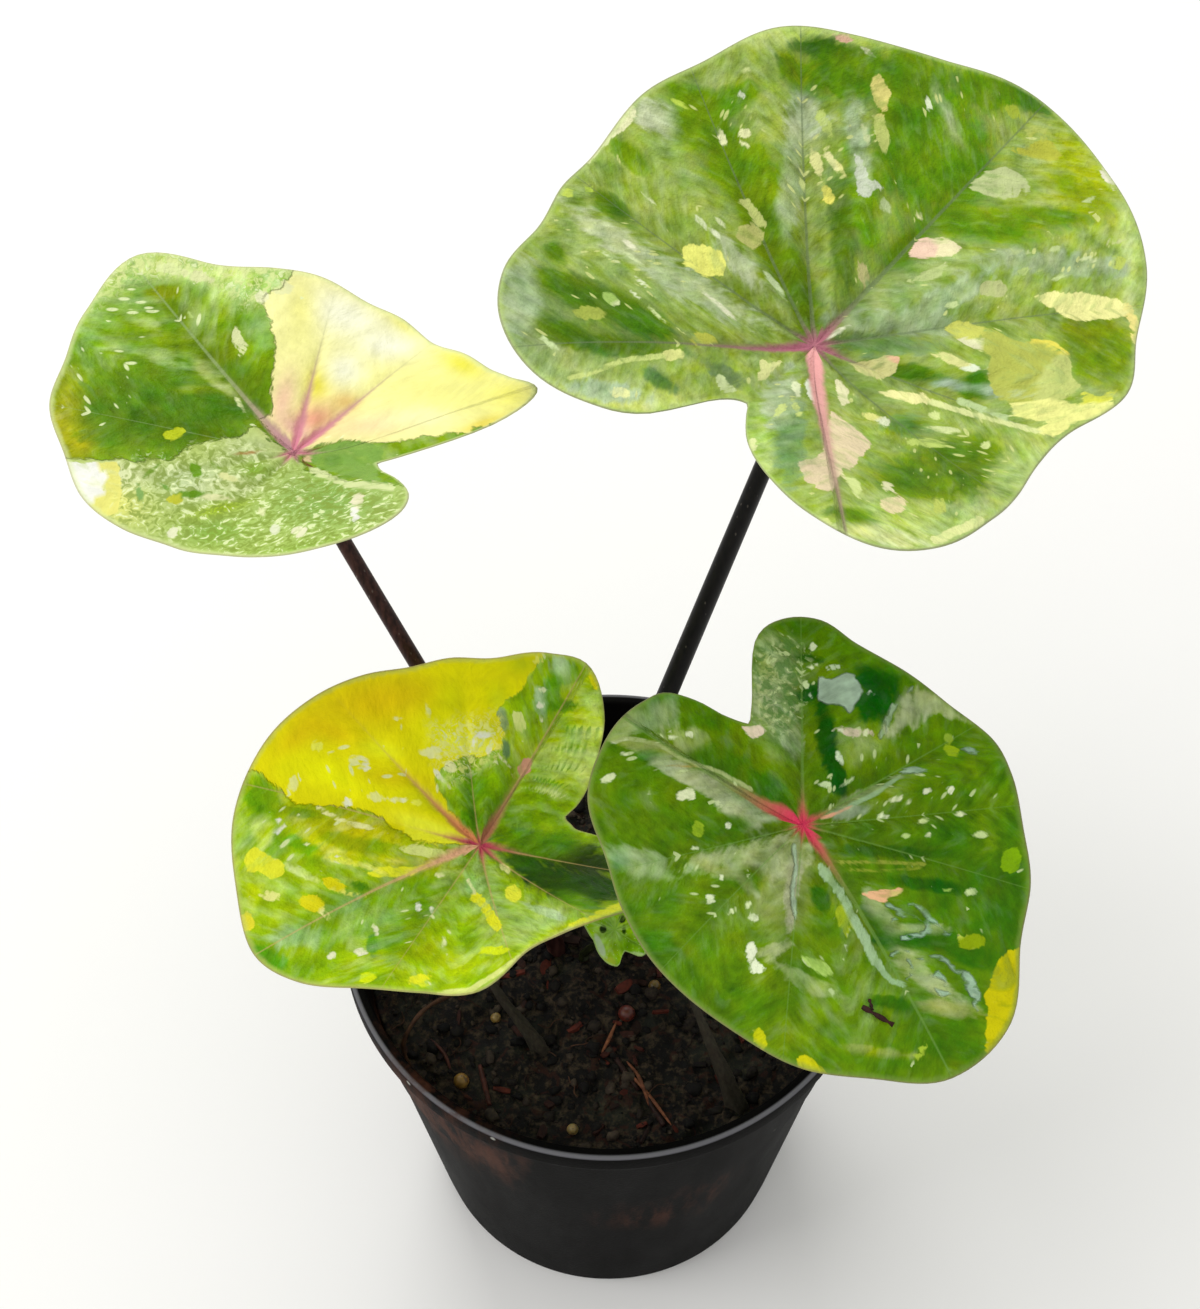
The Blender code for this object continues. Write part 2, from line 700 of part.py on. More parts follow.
def stalk_hole(leaf):
    """The plain hole that the stalk stands in, from the tuber's hollow up out of the soil."""
    rise = stalk_rise(leaf)
    radius = leaf.radii[0] * MM + HOLE_CLEARANCE
    ends = (stalk_root(leaf) - rise * 3 * MM, stalk_foot(leaf) + rise * 7 * MM)
    return tube("hole", tube_rings(ends, (radius, radius), 12))


def stub_path(line):
    """A stub's line, with its buried end first."""
    stations = [Vector(place) * MM for place in line]
    down = (stations[0] - stations[1]).normalized()
    return [stations[0] + down * STUB_DEPTH, *smooth_path(stations, 2)]


def make_stub(name, line, radii, finish):
    path = stub_path(line)
    foot, top = (radius * MM for radius in radii)
    # The foot flares: the old sheath is widest at the soil.
    widths = [foot, *(top + (foot - top) * (1 - share) ** 2 for share in blend(0, 1, len(path) - 1))]
    return tube(name, tube_rings(path, widths, 8), finish)


def stub_hole(line, radii):
    path = stub_path(line)
    lean = (path[1] - path[0]).normalized()
    radius = radii[0] * MM + HOLE_CLEARANCE
    ends = (path[0] - lean * GAP, path[1] + lean * 6 * MM)
    return tube("hole", tube_rings(ends, (radius, radius), 12))


def main():
    for old in list(bpy.data.objects):
        bpy.data.objects.remove(old)
    make_pot()
    make_soil()
    tuber_shape("tuber", 0, material("tuber_skin", (0.09, 0.05, 0.03), 0.9))
    greens = {
        "leaf_1": (0.13, 0.27, 0.04),
        "leaf_2": (0.35, 0.45, 0.08),
        "leaf_3": (0.38, 0.40, 0.02),
        "leaf_4": (0.06, 0.17, 0.02),
        "young_leaf": (0.30, 0.48, 0.12),
    }
    stalks = {
        "leaf_1": (0.008, 0.006, 0.006),
        "leaf_2": (0.030, 0.010, 0.012),
        "leaf_3": (0.030, 0.010, 0.012),
        "leaf_4": (0.020, 0.010, 0.010),
        "young_leaf": (0.15, 0.22, 0.06),
    }
    for leaf in LEAVES:
        make_blade(leaf, material(leaf.name + "_green", greens[leaf.name], 0.4))
        make_stalk(leaf, material(leaf.name + "_stalk_skin", stalks[leaf.name], 0.45))
    for name, (line, radii) in STUBS.items():
        make_stub(name, line, radii, material(name + "_skin", (0.05, 0.05, 0.04), 0.8))


main()
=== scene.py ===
"""A potted caladium, dressed: fine waved and variegated leaves, smooth stalks, potting mix with what lies in
it, and a moulded nursery pot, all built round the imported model.

Units are metres, +Z is up, and the origin is the centre of the pot's underside. Lengths in the tables are
millimetres unless they say otherwise. Each leaf has a frame of its own at the joint with its stalk: x runs
along the midrib to the tip, y to the leaf's left as seen from above, and n out of its upper face.
Markings are placed by where they show in the photograph, in its pixels, 1200 across and 1309 down.
"""

from functools import partial
from math import atan2, cos, hypot, pi, radians, sin, sqrt
from random import Random

import bmesh
import bpy
import numpy as np
from mathutils import Matrix, Vector
from mathutils.noise import noise


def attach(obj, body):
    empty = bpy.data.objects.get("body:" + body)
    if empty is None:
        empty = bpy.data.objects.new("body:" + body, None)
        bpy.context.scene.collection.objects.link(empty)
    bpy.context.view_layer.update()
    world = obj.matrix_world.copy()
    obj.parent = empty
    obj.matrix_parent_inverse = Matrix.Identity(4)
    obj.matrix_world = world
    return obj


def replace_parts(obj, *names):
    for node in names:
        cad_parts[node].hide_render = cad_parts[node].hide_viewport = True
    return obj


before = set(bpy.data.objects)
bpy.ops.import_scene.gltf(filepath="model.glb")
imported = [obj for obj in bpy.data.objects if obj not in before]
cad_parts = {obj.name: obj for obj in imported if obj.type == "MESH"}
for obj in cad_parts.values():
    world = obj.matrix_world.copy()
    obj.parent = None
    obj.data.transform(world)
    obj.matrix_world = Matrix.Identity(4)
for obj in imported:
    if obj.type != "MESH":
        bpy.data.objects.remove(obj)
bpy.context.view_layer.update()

MM = 0.001
BODY = "root"

# The photograph's camera
PHOTO_WIDTH = 1200
PHOTO_HEIGHT = 1309
FOCAL_PIXELS = 2473
SENSOR = 36
CAMERA_PLACE = Vector((-0.0025, -0.3479, 0.7434))
CAMERA_PITCH = radians(54.2555)  # of its axis, below level
AHEAD = (0, cos(CAMERA_PITCH), -sin(CAMERA_PITCH))
UPWARD = (0, sin(CAMERA_PITCH), cos(CAMERA_PITCH))

# Pot, from its three driving sizes
POT_HEIGHT = 136 * MM
RIM_RADIUS = 75 * MM
BASE_RADIUS = 55 * MM
WALL = 1.5 * MM
FLOOR = 2.2 * MM
RIM_DEPTH = 7 * MM
RIM_PROUD = 2.4 * MM
LEDGE_HEIGHT = 97 * MM
LEDGE_STEP = 0.6 * MM
BASE_ROUNDING = 1.5 * MM
RIM_ROUNDING = 1.0 * MM
DRAIN_HOLES = 8
DRAIN_RADIUS = 4 * MM
DRAIN_CIRCLE = 43 * MM
POT_SIDES = 180

# Soil
SOIL_TOP = 118 * MM
SOIL_SIDES = 330
SOIL_RINGS = 96
WALL_DROP = 1.5 * MM
WALL_MARGIN = 6 * MM
MOUND = 2.5 * MM
MOUND_REACH = 25 * MM
HUMMOCK = 2.0 * MM
HUMMOCK_SIZE = 14 * MM
GRAIN = 0.9 * MM
GRAIN_SIZE = 5 * MM
CRUMBLE = 1.5 * MM
CRUMBLE_SIZE = 3.4 * MM
FINE_CRUMBLE = 0.6 * MM
FINE_CRUMBLE_SIZE = 1.5 * MM
CRUMBLE_SUNK = 0.45 * MM
CLODS = 70
CLOD_SIZES = (3, 8)
SEED = 7
CROWN = Vector((-8, 6, 0)) * MM
GAP = 0.3 * MM

# Blades
BLADE = 0.6 * MM
RIB = 0.9 * MM
SPAN = 60 * MM
YOUNG_SPAN = 14 * MM
VEIN_ROUNDING = 0.02
SINUS_ROUNDING = 0.04
FLAT_RIM = 0.87
MARGIN_INSET = 0.35 * MM  # keeps the fine margin inside the solid's faceted one
FOLD = 0.32  # mm that the tissue folds up between two side veins
GROOVE = 0.4  # mm that a main vein is sunk at the joint
GROOVE_WIDTH = 1.3 * MM
RIB_WIDTH = 0.9 * MM
RIDGE_SLANT = 0.85
JOINT_DIP = 0.15 * MM
EDGE_ROUNDING = 0.2 * MM
PUCKER = 6.5 * MM
PUCKER_HEIGHT = 0.8  # of a leaf's quilting
DIRECTIONS = (0, 15, 30, 45, 60, 75, 90, 105, 120, 135, 145, 155, 163, 170, 175)

# Settings that many nodes share
TIMES = {"operation": "MULTIPLY"}
TIMES_PLUS = {"operation": "MULTIPLY_ADD"}
SMOOTH = {"interpolation_type": "SMOOTHSTEP"}
RGBA = {"data_type": "RGBA"}


def linear(hex_colour):
    """An sRGB hex colour as linear red, green, blue and alpha."""
    found = []
    for start in (0, 2, 4):
        value = int(hex_colour[start : start + 2], 16) / 255
        found.append(value / 12.92 if value <= 0.04045 else ((value + 0.055) / 1.055) ** 2.4)
    return (*found, 1.0)


def add_node(tree, kind, *values, out=0, **named):
    """Adds a node, and gives back one of its outputs, or the node itself where out is None.

    values go to its sockets in use, in their order. A name with a capital is a socket's, with _ for a space,
    and any other is a setting's. A value is another node's output to link, an sRGB hex colour, or plain.
    """
    made = tree.nodes.new("ShaderNode" + kind)
    for name, value in named.items():
        if name.islower():
            setattr(made, name, value)
    given = [*zip((socket for socket in made.inputs if socket.enabled), values)]
    given += [(made.inputs[name.replace("_", " ")], named[name]) for name in named if not name.islower()]
    for socket, value in given:
        if isinstance(value, bpy.types.NodeSocket):
            tree.links.new(value, socket)
        else:
            socket.default_value = linear(value) if isinstance(value, str) else value
    if out is None:
        return made
    return made.outputs[out] if out else next(socket for socket in made.outputs if socket.enabled)


def new_material(name, **values):
    """A material whose shader's plain sockets take these values, and the function that adds its nodes."""
    made = bpy.data.materials.new(name)
    made.use_nodes = True
    for socket, value in values.items():
        made.node_tree.nodes["Principled BSDF"].inputs[socket.replace("_", " ")].default_value = value
    return made, partial(add_node, made.node_tree)


def connect(made, **outputs):
    """Links these outputs to the material's shader, and gives back the material."""
    for socket, output in outputs.items():
        shader = made.node_tree.nodes["Principled BSDF"]
        made.node_tree.links.new(output, shader.inputs[socket.replace("_", " ")])
    return made


def placed(name, data):
    """An object in the scene with this mesh, light or camera."""
    made = bpy.data.objects.new(name, data)
    bpy.context.scene.collection.objects.link(made)
    return made


def mesh_object(name, points, faces):
    mesh = bpy.data.meshes.new(name)
    mesh.from_pydata([tuple(point) for point in points], [], [tuple(face) for face in faces])
    return placed(name, mesh)


def mesh_piece(name, points, faces, finish):
    """A smooth-shaded mesh that rides on the plant's one body."""
    made = mesh_object(name, points, faces)
    made.data.validate()
    made.data.shade_smooth()
    made.data.materials.append(finish)
    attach(made, BODY)
    return made


# Where things show in the photograph


def photo_place(points):
    """Pixels across and down at which these points, one a row, show in the photograph."""
    offset = np.asarray(points) - np.array(CAMERA_PLACE)
    depth = offset @ np.array(AHEAD)
    across = PHOTO_WIDTH / 2 + FOCAL_PIXELS * offset[:, 0] / depth
    down = PHOTO_HEIGHT / 2 - FOCAL_PIXELS * (offset @ np.array(UPWARD)) / depth
    return across, down


def pixels_per_mm(place):
    """The photograph's scale at a point."""
    return FOCAL_PIXELS * MM / (place - CAMERA_PLACE).dot(Vector(AHEAD))


# Leaves


class Leaf:
    """One leaf, as in the solid: see there for what each value means. Lengths in mm, angles in degrees."""

    span = SPAN
    rings = 44
    spoke_step = 1.7
    ridge = 4.5  # spacing of the side veins
    midrib = 0  # its direction from the heading, where the sunken vein runs off the fold

    def __init__(self, name, **values):
        self.name = name
        self.__dict__.update(values)
        self.joint = Vector(self.joint) * MM


LEAF_1 = Leaf(
    "leaf_1",
    rings=58, spoke_step=1.3, ridge=7.0,
    joint=(51.7, 79.6, 283), heading=54, droop=2, roll=12,
    arch=0, curl=-0.25, cup=0.02, fold=0.2, twist=0.12, lift=0.65,
    left=(117, 103, 94, 88, 80, 77, 73, 73, 75, 85, 89, 87, 80, 69, 47),
    right=(117, 112, 101, 87, 80, 67, 64, 68, 76, 87, 89, 80, 68, 56, 45),
    sinus=(182, 40), veins_left=(40, 63, 100, 150), veins_right=(38, 79, 110, 149),
    quilt=1.3, wave=1.2, foot=(-7, 15), lean=12, radii=(3.3, 2.5),
)
LEAF_2 = Leaf(
    "leaf_2",
    midrib=-14,
    joint=(-79.5, 55.5, 270), heading=144, droop=-6, roll=0,
    arch=-0.05, curl=-0.2, cup=-0.5, fold=0.45, twist=-0.08, lift=1.05,
    left=(69, 63, 61, 56, 54, 50, 45, 45, 49, 56, 59, 57, 50, 39, 31),
    right=(69, 71, 57, 52, 49, 46, 46, 44, 45, 48, 53, 60, 53, 35, 27),
    sinus=(183, 26), veins_left=(30, 62, 98, 150), veins_right=(64, 104, 152),
    quilt=0.9, wave=0.8, foot=(-11, 6.3), lean=9, radii=(2.4, 1.9),
)
LEAF_3 = Leaf(
    "leaf_3",
    joint=(-33.6, -13.3, 194.3), heading=-151, droop=-9, roll=-3,
    arch=0.42, curl=0, cup=0.28, fold=0.4, twist=0.05, lift=-0.22,
    left=(63, 60, 55, 54, 54, 43, 40, 41, 44, 46, 45, 41, 35, 28, 27),
    right=(63, 63, 64, 61, 55, 50, 46, 47, 49, 58, 63, 56, 45, 37, 31),
    sinus=(182, 27), veins_left=(35, 70, 105, 141), veins_right=(37, 65, 108, 144),
    quilt=0.9, wave=0.8, foot=(-15, -2), lean=5, radii=(2.3, 1.8),
)
LEAF_4 = Leaf(
    "leaf_4",
    joint=(47.5, -26.1, 224.5), heading=-62, droop=-3, roll=0,
    arch=0.41, curl=-0.1, cup=-0.04, fold=0.04, twist=0.14, lift=0.34,
    left=(70, 69, 60, 57, 54, 54, 55, 53, 54, 55, 59, 58, 52, 37, 31),
    right=(70, 64, 61, 57, 55, 53, 51, 50, 53, 52, 51, 49, 47, 41, 35),
    sinus=(177, 30), veins_left=(43, 66, 95, 150), veins_right=(35, 70, 101, 147),
    quilt=1.0, wave=0.8, foot=(1, 1.5), lean=5, radii=(2.5, 2.0),
)
YOUNG_LEAF = Leaf(
    "young_leaf",
    span=YOUNG_SPAN, rings=20, spoke_step=4, ridge=2.5,
    joint=(1.6, -13.5, 150), heading=112, droop=-4, roll=0,
    arch=0.4, curl=-0.3, cup=0.3, fold=0.2, twist=0, lift=0.2,
    left=(15, 14, 12, 10.5, 9, 8, 7.5, 7.5, 8.5, 10, 11, 11.5, 11.5, 9, 8),
    right=(15, 14.5, 13, 11.5, 10, 9, 8.5, 8.5, 9, 10, 11, 11.5, 11, 9, 8),
    sinus=(180, 7.5), veins_left=(45, 95, 150), veins_right=(45, 95, 150),
    quilt=0.3, wave=0.4, foot=(-7.2, -5), lean=7, radii=(1.3, 1.0),
)


def leaf_frame(leaf):
    heading = radians(leaf.heading)
    droop = radians(leaf.droop)
    roll = radians(leaf.roll)
    x = Vector((cos(heading) * cos(droop), sin(heading) * cos(droop), -sin(droop)))
    level_n = Vector((cos(heading) * sin(droop), sin(heading) * sin(droop), cos(droop)))
    level_y = level_n.cross(x)
    y = level_y * cos(roll) + level_n * sin(roll)
    return x, y, x.cross(y)


def bend(leaf, x, y):
    """How far the blade stands out of its plane at x, y, from its large curves alone."""
    x = x / leaf.span
    y = y / leaf.span
    front = np.maximum(x, 0)
    back = np.minimum(x, 0)
    height = -leaf.arch * front**2 / 2 + leaf.curl * back**2 / 2 + leaf.cup * y**2 / 2
    height += leaf.fold * (np.sqrt(y * y + VEIN_ROUNDING) - sqrt(VEIN_ROUNDING)) + leaf.twist * x * y
    height += leaf.lift * (np.sqrt(back * back + SINUS_ROUNDING) - sqrt(SINUS_ROUNDING))
    return height * leaf.span


def bend_normal(leaf, x, y):
    """The blade's upward normals in its own frame, one a row."""
    step = 0.5 * MM
    slope_x = (bend(leaf, x + step, y) - bend(leaf, x - step, y)) / (2 * step)
    slope_y = (bend(leaf, x, y + step) - bend(leaf, x, y - step)) / (2 * step)
    normal = np.stack((-slope_x, -slope_y, np.ones_like(slope_x)), axis=-1)
    return normal / np.linalg.norm(normal, axis=-1, keepdims=True)


def margin_keys(leaf):
    """Directions and radii of the margin all round, in degrees from -175 to the sinus, and metres."""
    keys = [(-direction, radius) for direction, radius in zip(DIRECTIONS, leaf.right)][:0:-1]
    keys += zip(DIRECTIONS, leaf.left)
    keys.append(leaf.sinus)
    return [(direction, radius * MM) for direction, radius in keys]


def margin_radius(keys, direction):
    """The margin's radius at a direction in degrees: a smooth closed curve through the keys."""
    turned = (direction - keys[0][0]) % 360 + keys[0][0]
    count = len(keys)
    index = max(i for i in range(count) if keys[i][0] <= turned)

    def key(i):
        rounds, place = divmod(i, count)
        return keys[place][0] + 360 * rounds, keys[place][1]

    (a0, r0), (a1, r1), (a2, r2), (a3, r3) = (key(index + step) for step in (-1, 0, 1, 2))
    t = (turned - a1) / (a2 - a1)
    slope_1 = (r2 - r0) / (a2 - a0) * (a2 - a1)
    slope_2 = (r3 - r1) / (a3 - a1) * (a2 - a1)
    start = r1 * (1 + 2 * t) * (1 - t) ** 2 + slope_1 * t * (1 - t) ** 2
    return start + r2 * t * t * (3 - 2 * t) - slope_2 * t * t * (1 - t)


def spokes(leaf):
    """Lines from the joint to the margin: direction, place between two veins from 0 to 1, and the degrees to
    the nearest main vein and its direction."""
    veins = [-direction for direction in reversed(leaf.veins_right)] + [leaf.midrib, *leaf.veins_left]
    stations = [*veins, leaf.sinus[0], veins[0] + 360]
    found = []
    for first, last in zip(stations, stations[1:]):
        steps = max(4, round((last - first) / leaf.spoke_step))
        for step in range(steps):
            share = step / steps
            direction = first + (last - first) * share
            turns = [(abs((direction - vein + 180) % 360 - 180), vein) for vein in veins]
            found.append((direction, share, *min(turns)))
    return np.array(found)


class Blade:
    """The points of a blade's upper face: arrays with a row for each ring and a column for each spoke."""

    def __init__(self, leaf):
        lines = spokes(leaf)
        keys = margin_keys(leaf)
        self.leaf = leaf
        self.size = leaf.span / SPAN
        self.direction = np.radians(lines[:, 0])
        self.share = lines[:, 1]
        self.vein = lines[:, 3]
        self.margin = np.array([margin_radius(keys, direction) for direction in lines[:, 0]]) - MARGIN_INSET
        self.reach = (np.arange(1, leaf.rings + 1) / leaf.rings)[:, None]
        self.radius = self.reach * self.margin
        self.x = self.radius * np.cos(self.direction)
        self.y = self.radius * np.sin(self.direction)
        to_vein = np.minimum(np.radians(lines[:, 2]), pi / 2)
        self.vein_off = self.radius * np.sin(to_vein)
        self.rim_off = self.margin - self.radius
        # Side veins leave a main vein every leaf.ridge mm and slant outwards to meet the next one's.
        self.ridges = (self.radius - RIDGE_SLANT * self.vein_off) / (leaf.ridge * MM)

    def relief(self):
        """Height over the bent plane: quilting between the veins, sunken veins, ripple of the margin."""
        leaf = self.leaf
        inner = np.clip(self.reach / FLAT_RIM, 0, 1)
        dome = leaf.quilt * np.sin(pi * self.share) * np.maximum(np.sin(pi * inner), 0) ** 0.7
        soft = np.sin(pi * self.share) ** 0.8 * (1 - self.reach**3)
        folds = FOLD * self.size * (np.abs(np.sin(pi * self.ridges)) - 0.6) * soft
        sunk = np.exp(-((self.vein_off / (self.size * GROOVE_WIDTH)) ** 2)) * (1 - self.reach) ** 0.4
        waves = 0.6 * np.sin(5 * self.direction + leaf.heading) + 0.4 * np.sin(11 * self.direction)
        ripple = leaf.wave * self.reach**3 * waves
        return (dome + folds - GROOVE * self.size * sunk + ripple + self.puckers()) * MM

    def puckers(self):
        """Uneven swellings of the tissue between the side veins, in mm."""
        unit = PUCKER * self.size
        flat = zip(self.x.ravel() / unit, self.y.ravel() / unit)
        found = np.array([noise(Vector((x, y, self.leaf.heading))) for x, y in flat]).reshape(self.x.shape)
        fade = np.clip((1 - self.reach) * 5, 0, 1) * np.clip(self.vein_off / (2 * MM), 0, 1)
        return PUCKER_HEIGHT * self.leaf.quilt * found * fade

    def ribs(self):
        """How far the main veins stand out below."""
        shape = np.exp(-((self.vein_off / (self.size * RIB_WIDTH)) ** 2))
        return RIB * self.size * (1 - self.reach) ** 0.6 * shape


def to_world(leaf, x, y, z):
    """Points of the leaf's own frame, one a row, in the plant's frame."""
    along, left, up = (np.array(axis) for axis in leaf_frame(leaf))
    return np.array(leaf.joint) + x[:, None] * along + y[:, None] * left + z[:, None] * up


def blade_mesh(blade):
    """Points and faces of a closed blade with a rounded margin. The upper face's points come first."""
    leaf = blade.leaf
    count = len(blade.direction)
    rings = leaf.rings
    x = np.concatenate(([0.0], blade.x.ravel()))
    y = np.concatenate(([0.0], blade.y.ravel()))
    height = np.concatenate(([-JOINT_DIP], blade.relief().ravel()))
    ribs = np.concatenate(([RIB * blade.size], blade.ribs().ravel()))
    upper = np.stack((x, y, bend(leaf, x, y) + height), axis=1)
    # The blade thins towards its margin.
    reach = np.concatenate(([0.0], np.broadcast_to(blade.reach, blade.x.shape).ravel()))
    thickness = BLADE * (1 - 0.35 * reach**4)
    lower = upper - bend_normal(leaf, x, y) * (thickness + ribs)[:, None]
    outer = slice(1 + (rings - 1) * count, 1 + rings * count)
    middle = (upper[outer] + lower[outer]) / 2
    middle[:, 0] += np.cos(blade.direction) * EDGE_ROUNDING
    middle[:, 1] += np.sin(blade.direction) * EDGE_ROUNDING
    points = np.concatenate((upper, lower, middle))
    points = to_world(leaf, points[:, 0], points[:, 1], points[:, 2])
    under = len(upper)
    edge = 2 * under
    faces = []
    for spoke in range(count):
        after = (spoke + 1) % count
        faces.append((0, 1 + spoke, 1 + after))
        faces.append((under, under + 1 + after, under + 1 + spoke))
        for ring in range(rings - 1):
            a = 1 + ring * count + spoke
            b = 1 + ring * count + after
            faces.append((a, a + count, b + count, b))
            faces.append((under + a, under + b, under + b + count, under + a + count))
        last = 1 + (rings - 1) * count
        faces.append((last + spoke, edge + spoke, edge + after, last + after))
        faces.append((edge + spoke, under + last + spoke, under + last + after, edge + after))
    return points, faces


# Markings on the leaves


class Patch:
    """An area of one colour in the photograph, in its pixels.

    It is a blotch with half its length and width, turned clockwise from level by some degrees, or an
    outline, or a line with half its width.
    """

    def __init__(self, colour, across=0, down=0, long=0, wide=0, turn=0, outline=None, line=None):
        self.colour = linear(colour)[:3]
        self.middle = (across, down)
        self.half = (long, wide)
        self.turn = radians(turn)
        self.outline = outline
        self.line = line

    def stretched(self, across, down):
        """Distance from the blotch's middle, where its edge is 1."""
        dx = across - self.middle[0]
        dy = down - self.middle[1]
        along = dx * cos(self.turn) + dy * sin(self.turn)
        beside = dy * cos(self.turn) - dx * sin(self.turn)
        return np.hypot(along / self.half[0], beside / self.half[1])

    def distance(self, across, down):
        """Pixels from the patch's edge, negative inside."""
        if self.outline:
            return outline_distance(self.outline, across, down)
        if self.line:
            return line_distance(self.line, across, down) - self.half[1]
        return (self.stretched(across, down) - 1) * min(self.half)

    def size(self):
        """Pixels of half its width, about."""
        if self.outline:
            return 8
        return self.half[1] if self.line else min(self.half)


def marks(*rows):
    """Patches from rows of a colour and a shape, or of a colour and several shapes in brackets.

    A shape is the numbers of a blotch, or an outline's points, or half a line's width and its points.
    """
    made = []
    for colour, *shapes in rows:
        several = isinstance(shapes[0], tuple) and len(shapes[0]) > 2
        for shape in shapes if several else [shapes]:
            if isinstance(shape[0], tuple):
                made.append(Patch(colour, outline=shape))
            elif isinstance(shape[1], tuple):
                made.append(Patch(colour, wide=shape[0], line=shape[1:]))
            else:
                made.append(Patch(colour, *shape))
    return made


def line_distance(line, across, down):
    """Pixels from a line through these points."""
    nearest = np.full(across.shape, 1e6)
    for (ax, ay), (bx, by) in zip(line, line[1:]):
        run = (bx - ax, by - ay)
        share = ((across - ax) * run[0] + (down - ay) * run[1]) / (run[0] ** 2 + run[1] ** 2)
        share = np.clip(share, 0, 1)
        nearest = np.minimum(nearest, np.hypot(across - ax - share * run[0], down - ay - share * run[1]))
    return nearest


def outline_distance(outline, across, down):
    """Pixels from a closed outline, negative inside."""
    closed = (*outline, outline[0])
    nearest = line_distance(closed, across, down)
    inside = np.zeros(across.shape, bool)
    for (ax, ay), (bx, by) in zip(closed, closed[1:]):
        if ay != by:
            crosses = (ay > down) != (by > down)
            inside ^= crosses & (across < ax + (down - ay) * (bx - ax) / (by - ay))
    return np.where(inside, -nearest, nearest)


def nearest_patch(patches, across, down):
    """Distance in pixels to the nearest patch, that patch's colour, and its size."""
    distance = np.full(across.shape, 1e3)
    colour = np.ones((*across.shape, 3))
    size = np.ones(across.shape)
    for patch in patches:
        found = patch.distance(across, down)
        closer = found < distance
        distance = np.where(closer, found, distance)
        colour[closer] = patch.colour
        size[closer] = patch.size()
    return distance, colour, size


def tinted(colour, tints, across, down):
    """A colour with soft clouds of other colours in it. A tint has half faded at its edge."""
    found = np.array(np.broadcast_to(colour, (*across.shape, 3)))
    for tint in tints:
        weight = (0.5 ** tint.stretched(across, down) ** 2)[:, None]
        found = found * (1 - weight) + np.array(tint.colour) * weight
    return found


def clouded(clouds, across, down):
    """How fully clouds cover each point, from 0 to 1, and their colour there."""
    clear = np.ones(across.shape)
    total = np.full(across.shape, 1e-6)
    colour = np.zeros((*across.shape, 3))
    for cloud in clouds:
        weight = 0.5 ** cloud.stretched(across, down) ** 2
        clear *= 1 - weight
        total += weight**3
        colour += (weight**3)[:, None] * np.array(cloud.colour)
    return 1 - clear, colour / total[:, None]


class Look:
    """What one leaf's surface is like. Colours are sRGB hex values.

    ground: colour of the plain leaf. vein: colour of the main veins far out. flush: their colour near the
    joint. flushed: for a main vein's direction, the mm to where its flush has half faded, the mm of its
    width and, where it has one of its own, its colour. plain_vein is for the rest. rim, seam: colour of the
    margin and of its very edge. gain: factors on red, green and blue where the tissue is green. pale_gain:
    on all three in zones and marks. sheen: see as_lit in markings.
    tints: smooth clouds in the ground. clouds: streaky darker and lighter clouds; the lighter grey-green
    ones
    are a painted sheen. zones: large areas of other colours, with zone_tints in them. patches: crisp marks.
    mottled: where fine mottling lies, in its own colour. speckled: where specks of the colour speck lie.
    wet:
    films of water, whose pale grey colour is a painted reflection of the sky.
    """

    plain_vein = (4, 1.1)
    pale_gain = 1.0
    sheen = 0.012
    tints = clouds = zones = zone_tints = patches = mottled = speckled = wet = ()

    def __init__(self, **values):
        self.flushed = {}
        self.__dict__.update(values)


LOOK_1 = Look(
    ground="7e9e40", speck="d6de8c", vein="6c7c58", flush="b06c7c",
    flushed={0: (10, 1.7), 40: (4, 1.3), 63: (4, 1.2), 100: (4, 1.2), 150: (26, 1.3),
        -149: (56, 2.9, "e8a8a4"), -79: (8, 1.1), -38: (5, 1.1), -110: (4, 1.0)},
    rim="b8cf80", seam="8e8274", gain=(1.57, 1.29, 2.1), pale_gain=1.07, roughness=0.5,
)
LOOK_1.tints = marks(
    ("7f9e54", 540, 330, 60, 40, 30), ("86a64c", 600, 250, 50, 20, 35), ("6f923c", 605, 305, 56, 28, 20),
    ("a8c85e", 800, 34, 80, 10, 4), ("aac862", 620, 398, 70, 12, 10), ("9abd54", 880, 525, 90, 16, 8),
    ("9fc054", 990, 480, 60, 20, -35), ("88b040", 940, 60, 60, 20, 25), ("92ac28", 1088, 172, 24, 40, -20),
    ("9ec05c", 1130, 250, 10, 50), ("8ab04c", 770, 440, 26, 40), ("789a48", 900, 290, 60, 28, -40),
    ("8bab52", 980, 500, 70, 20, -30),
)
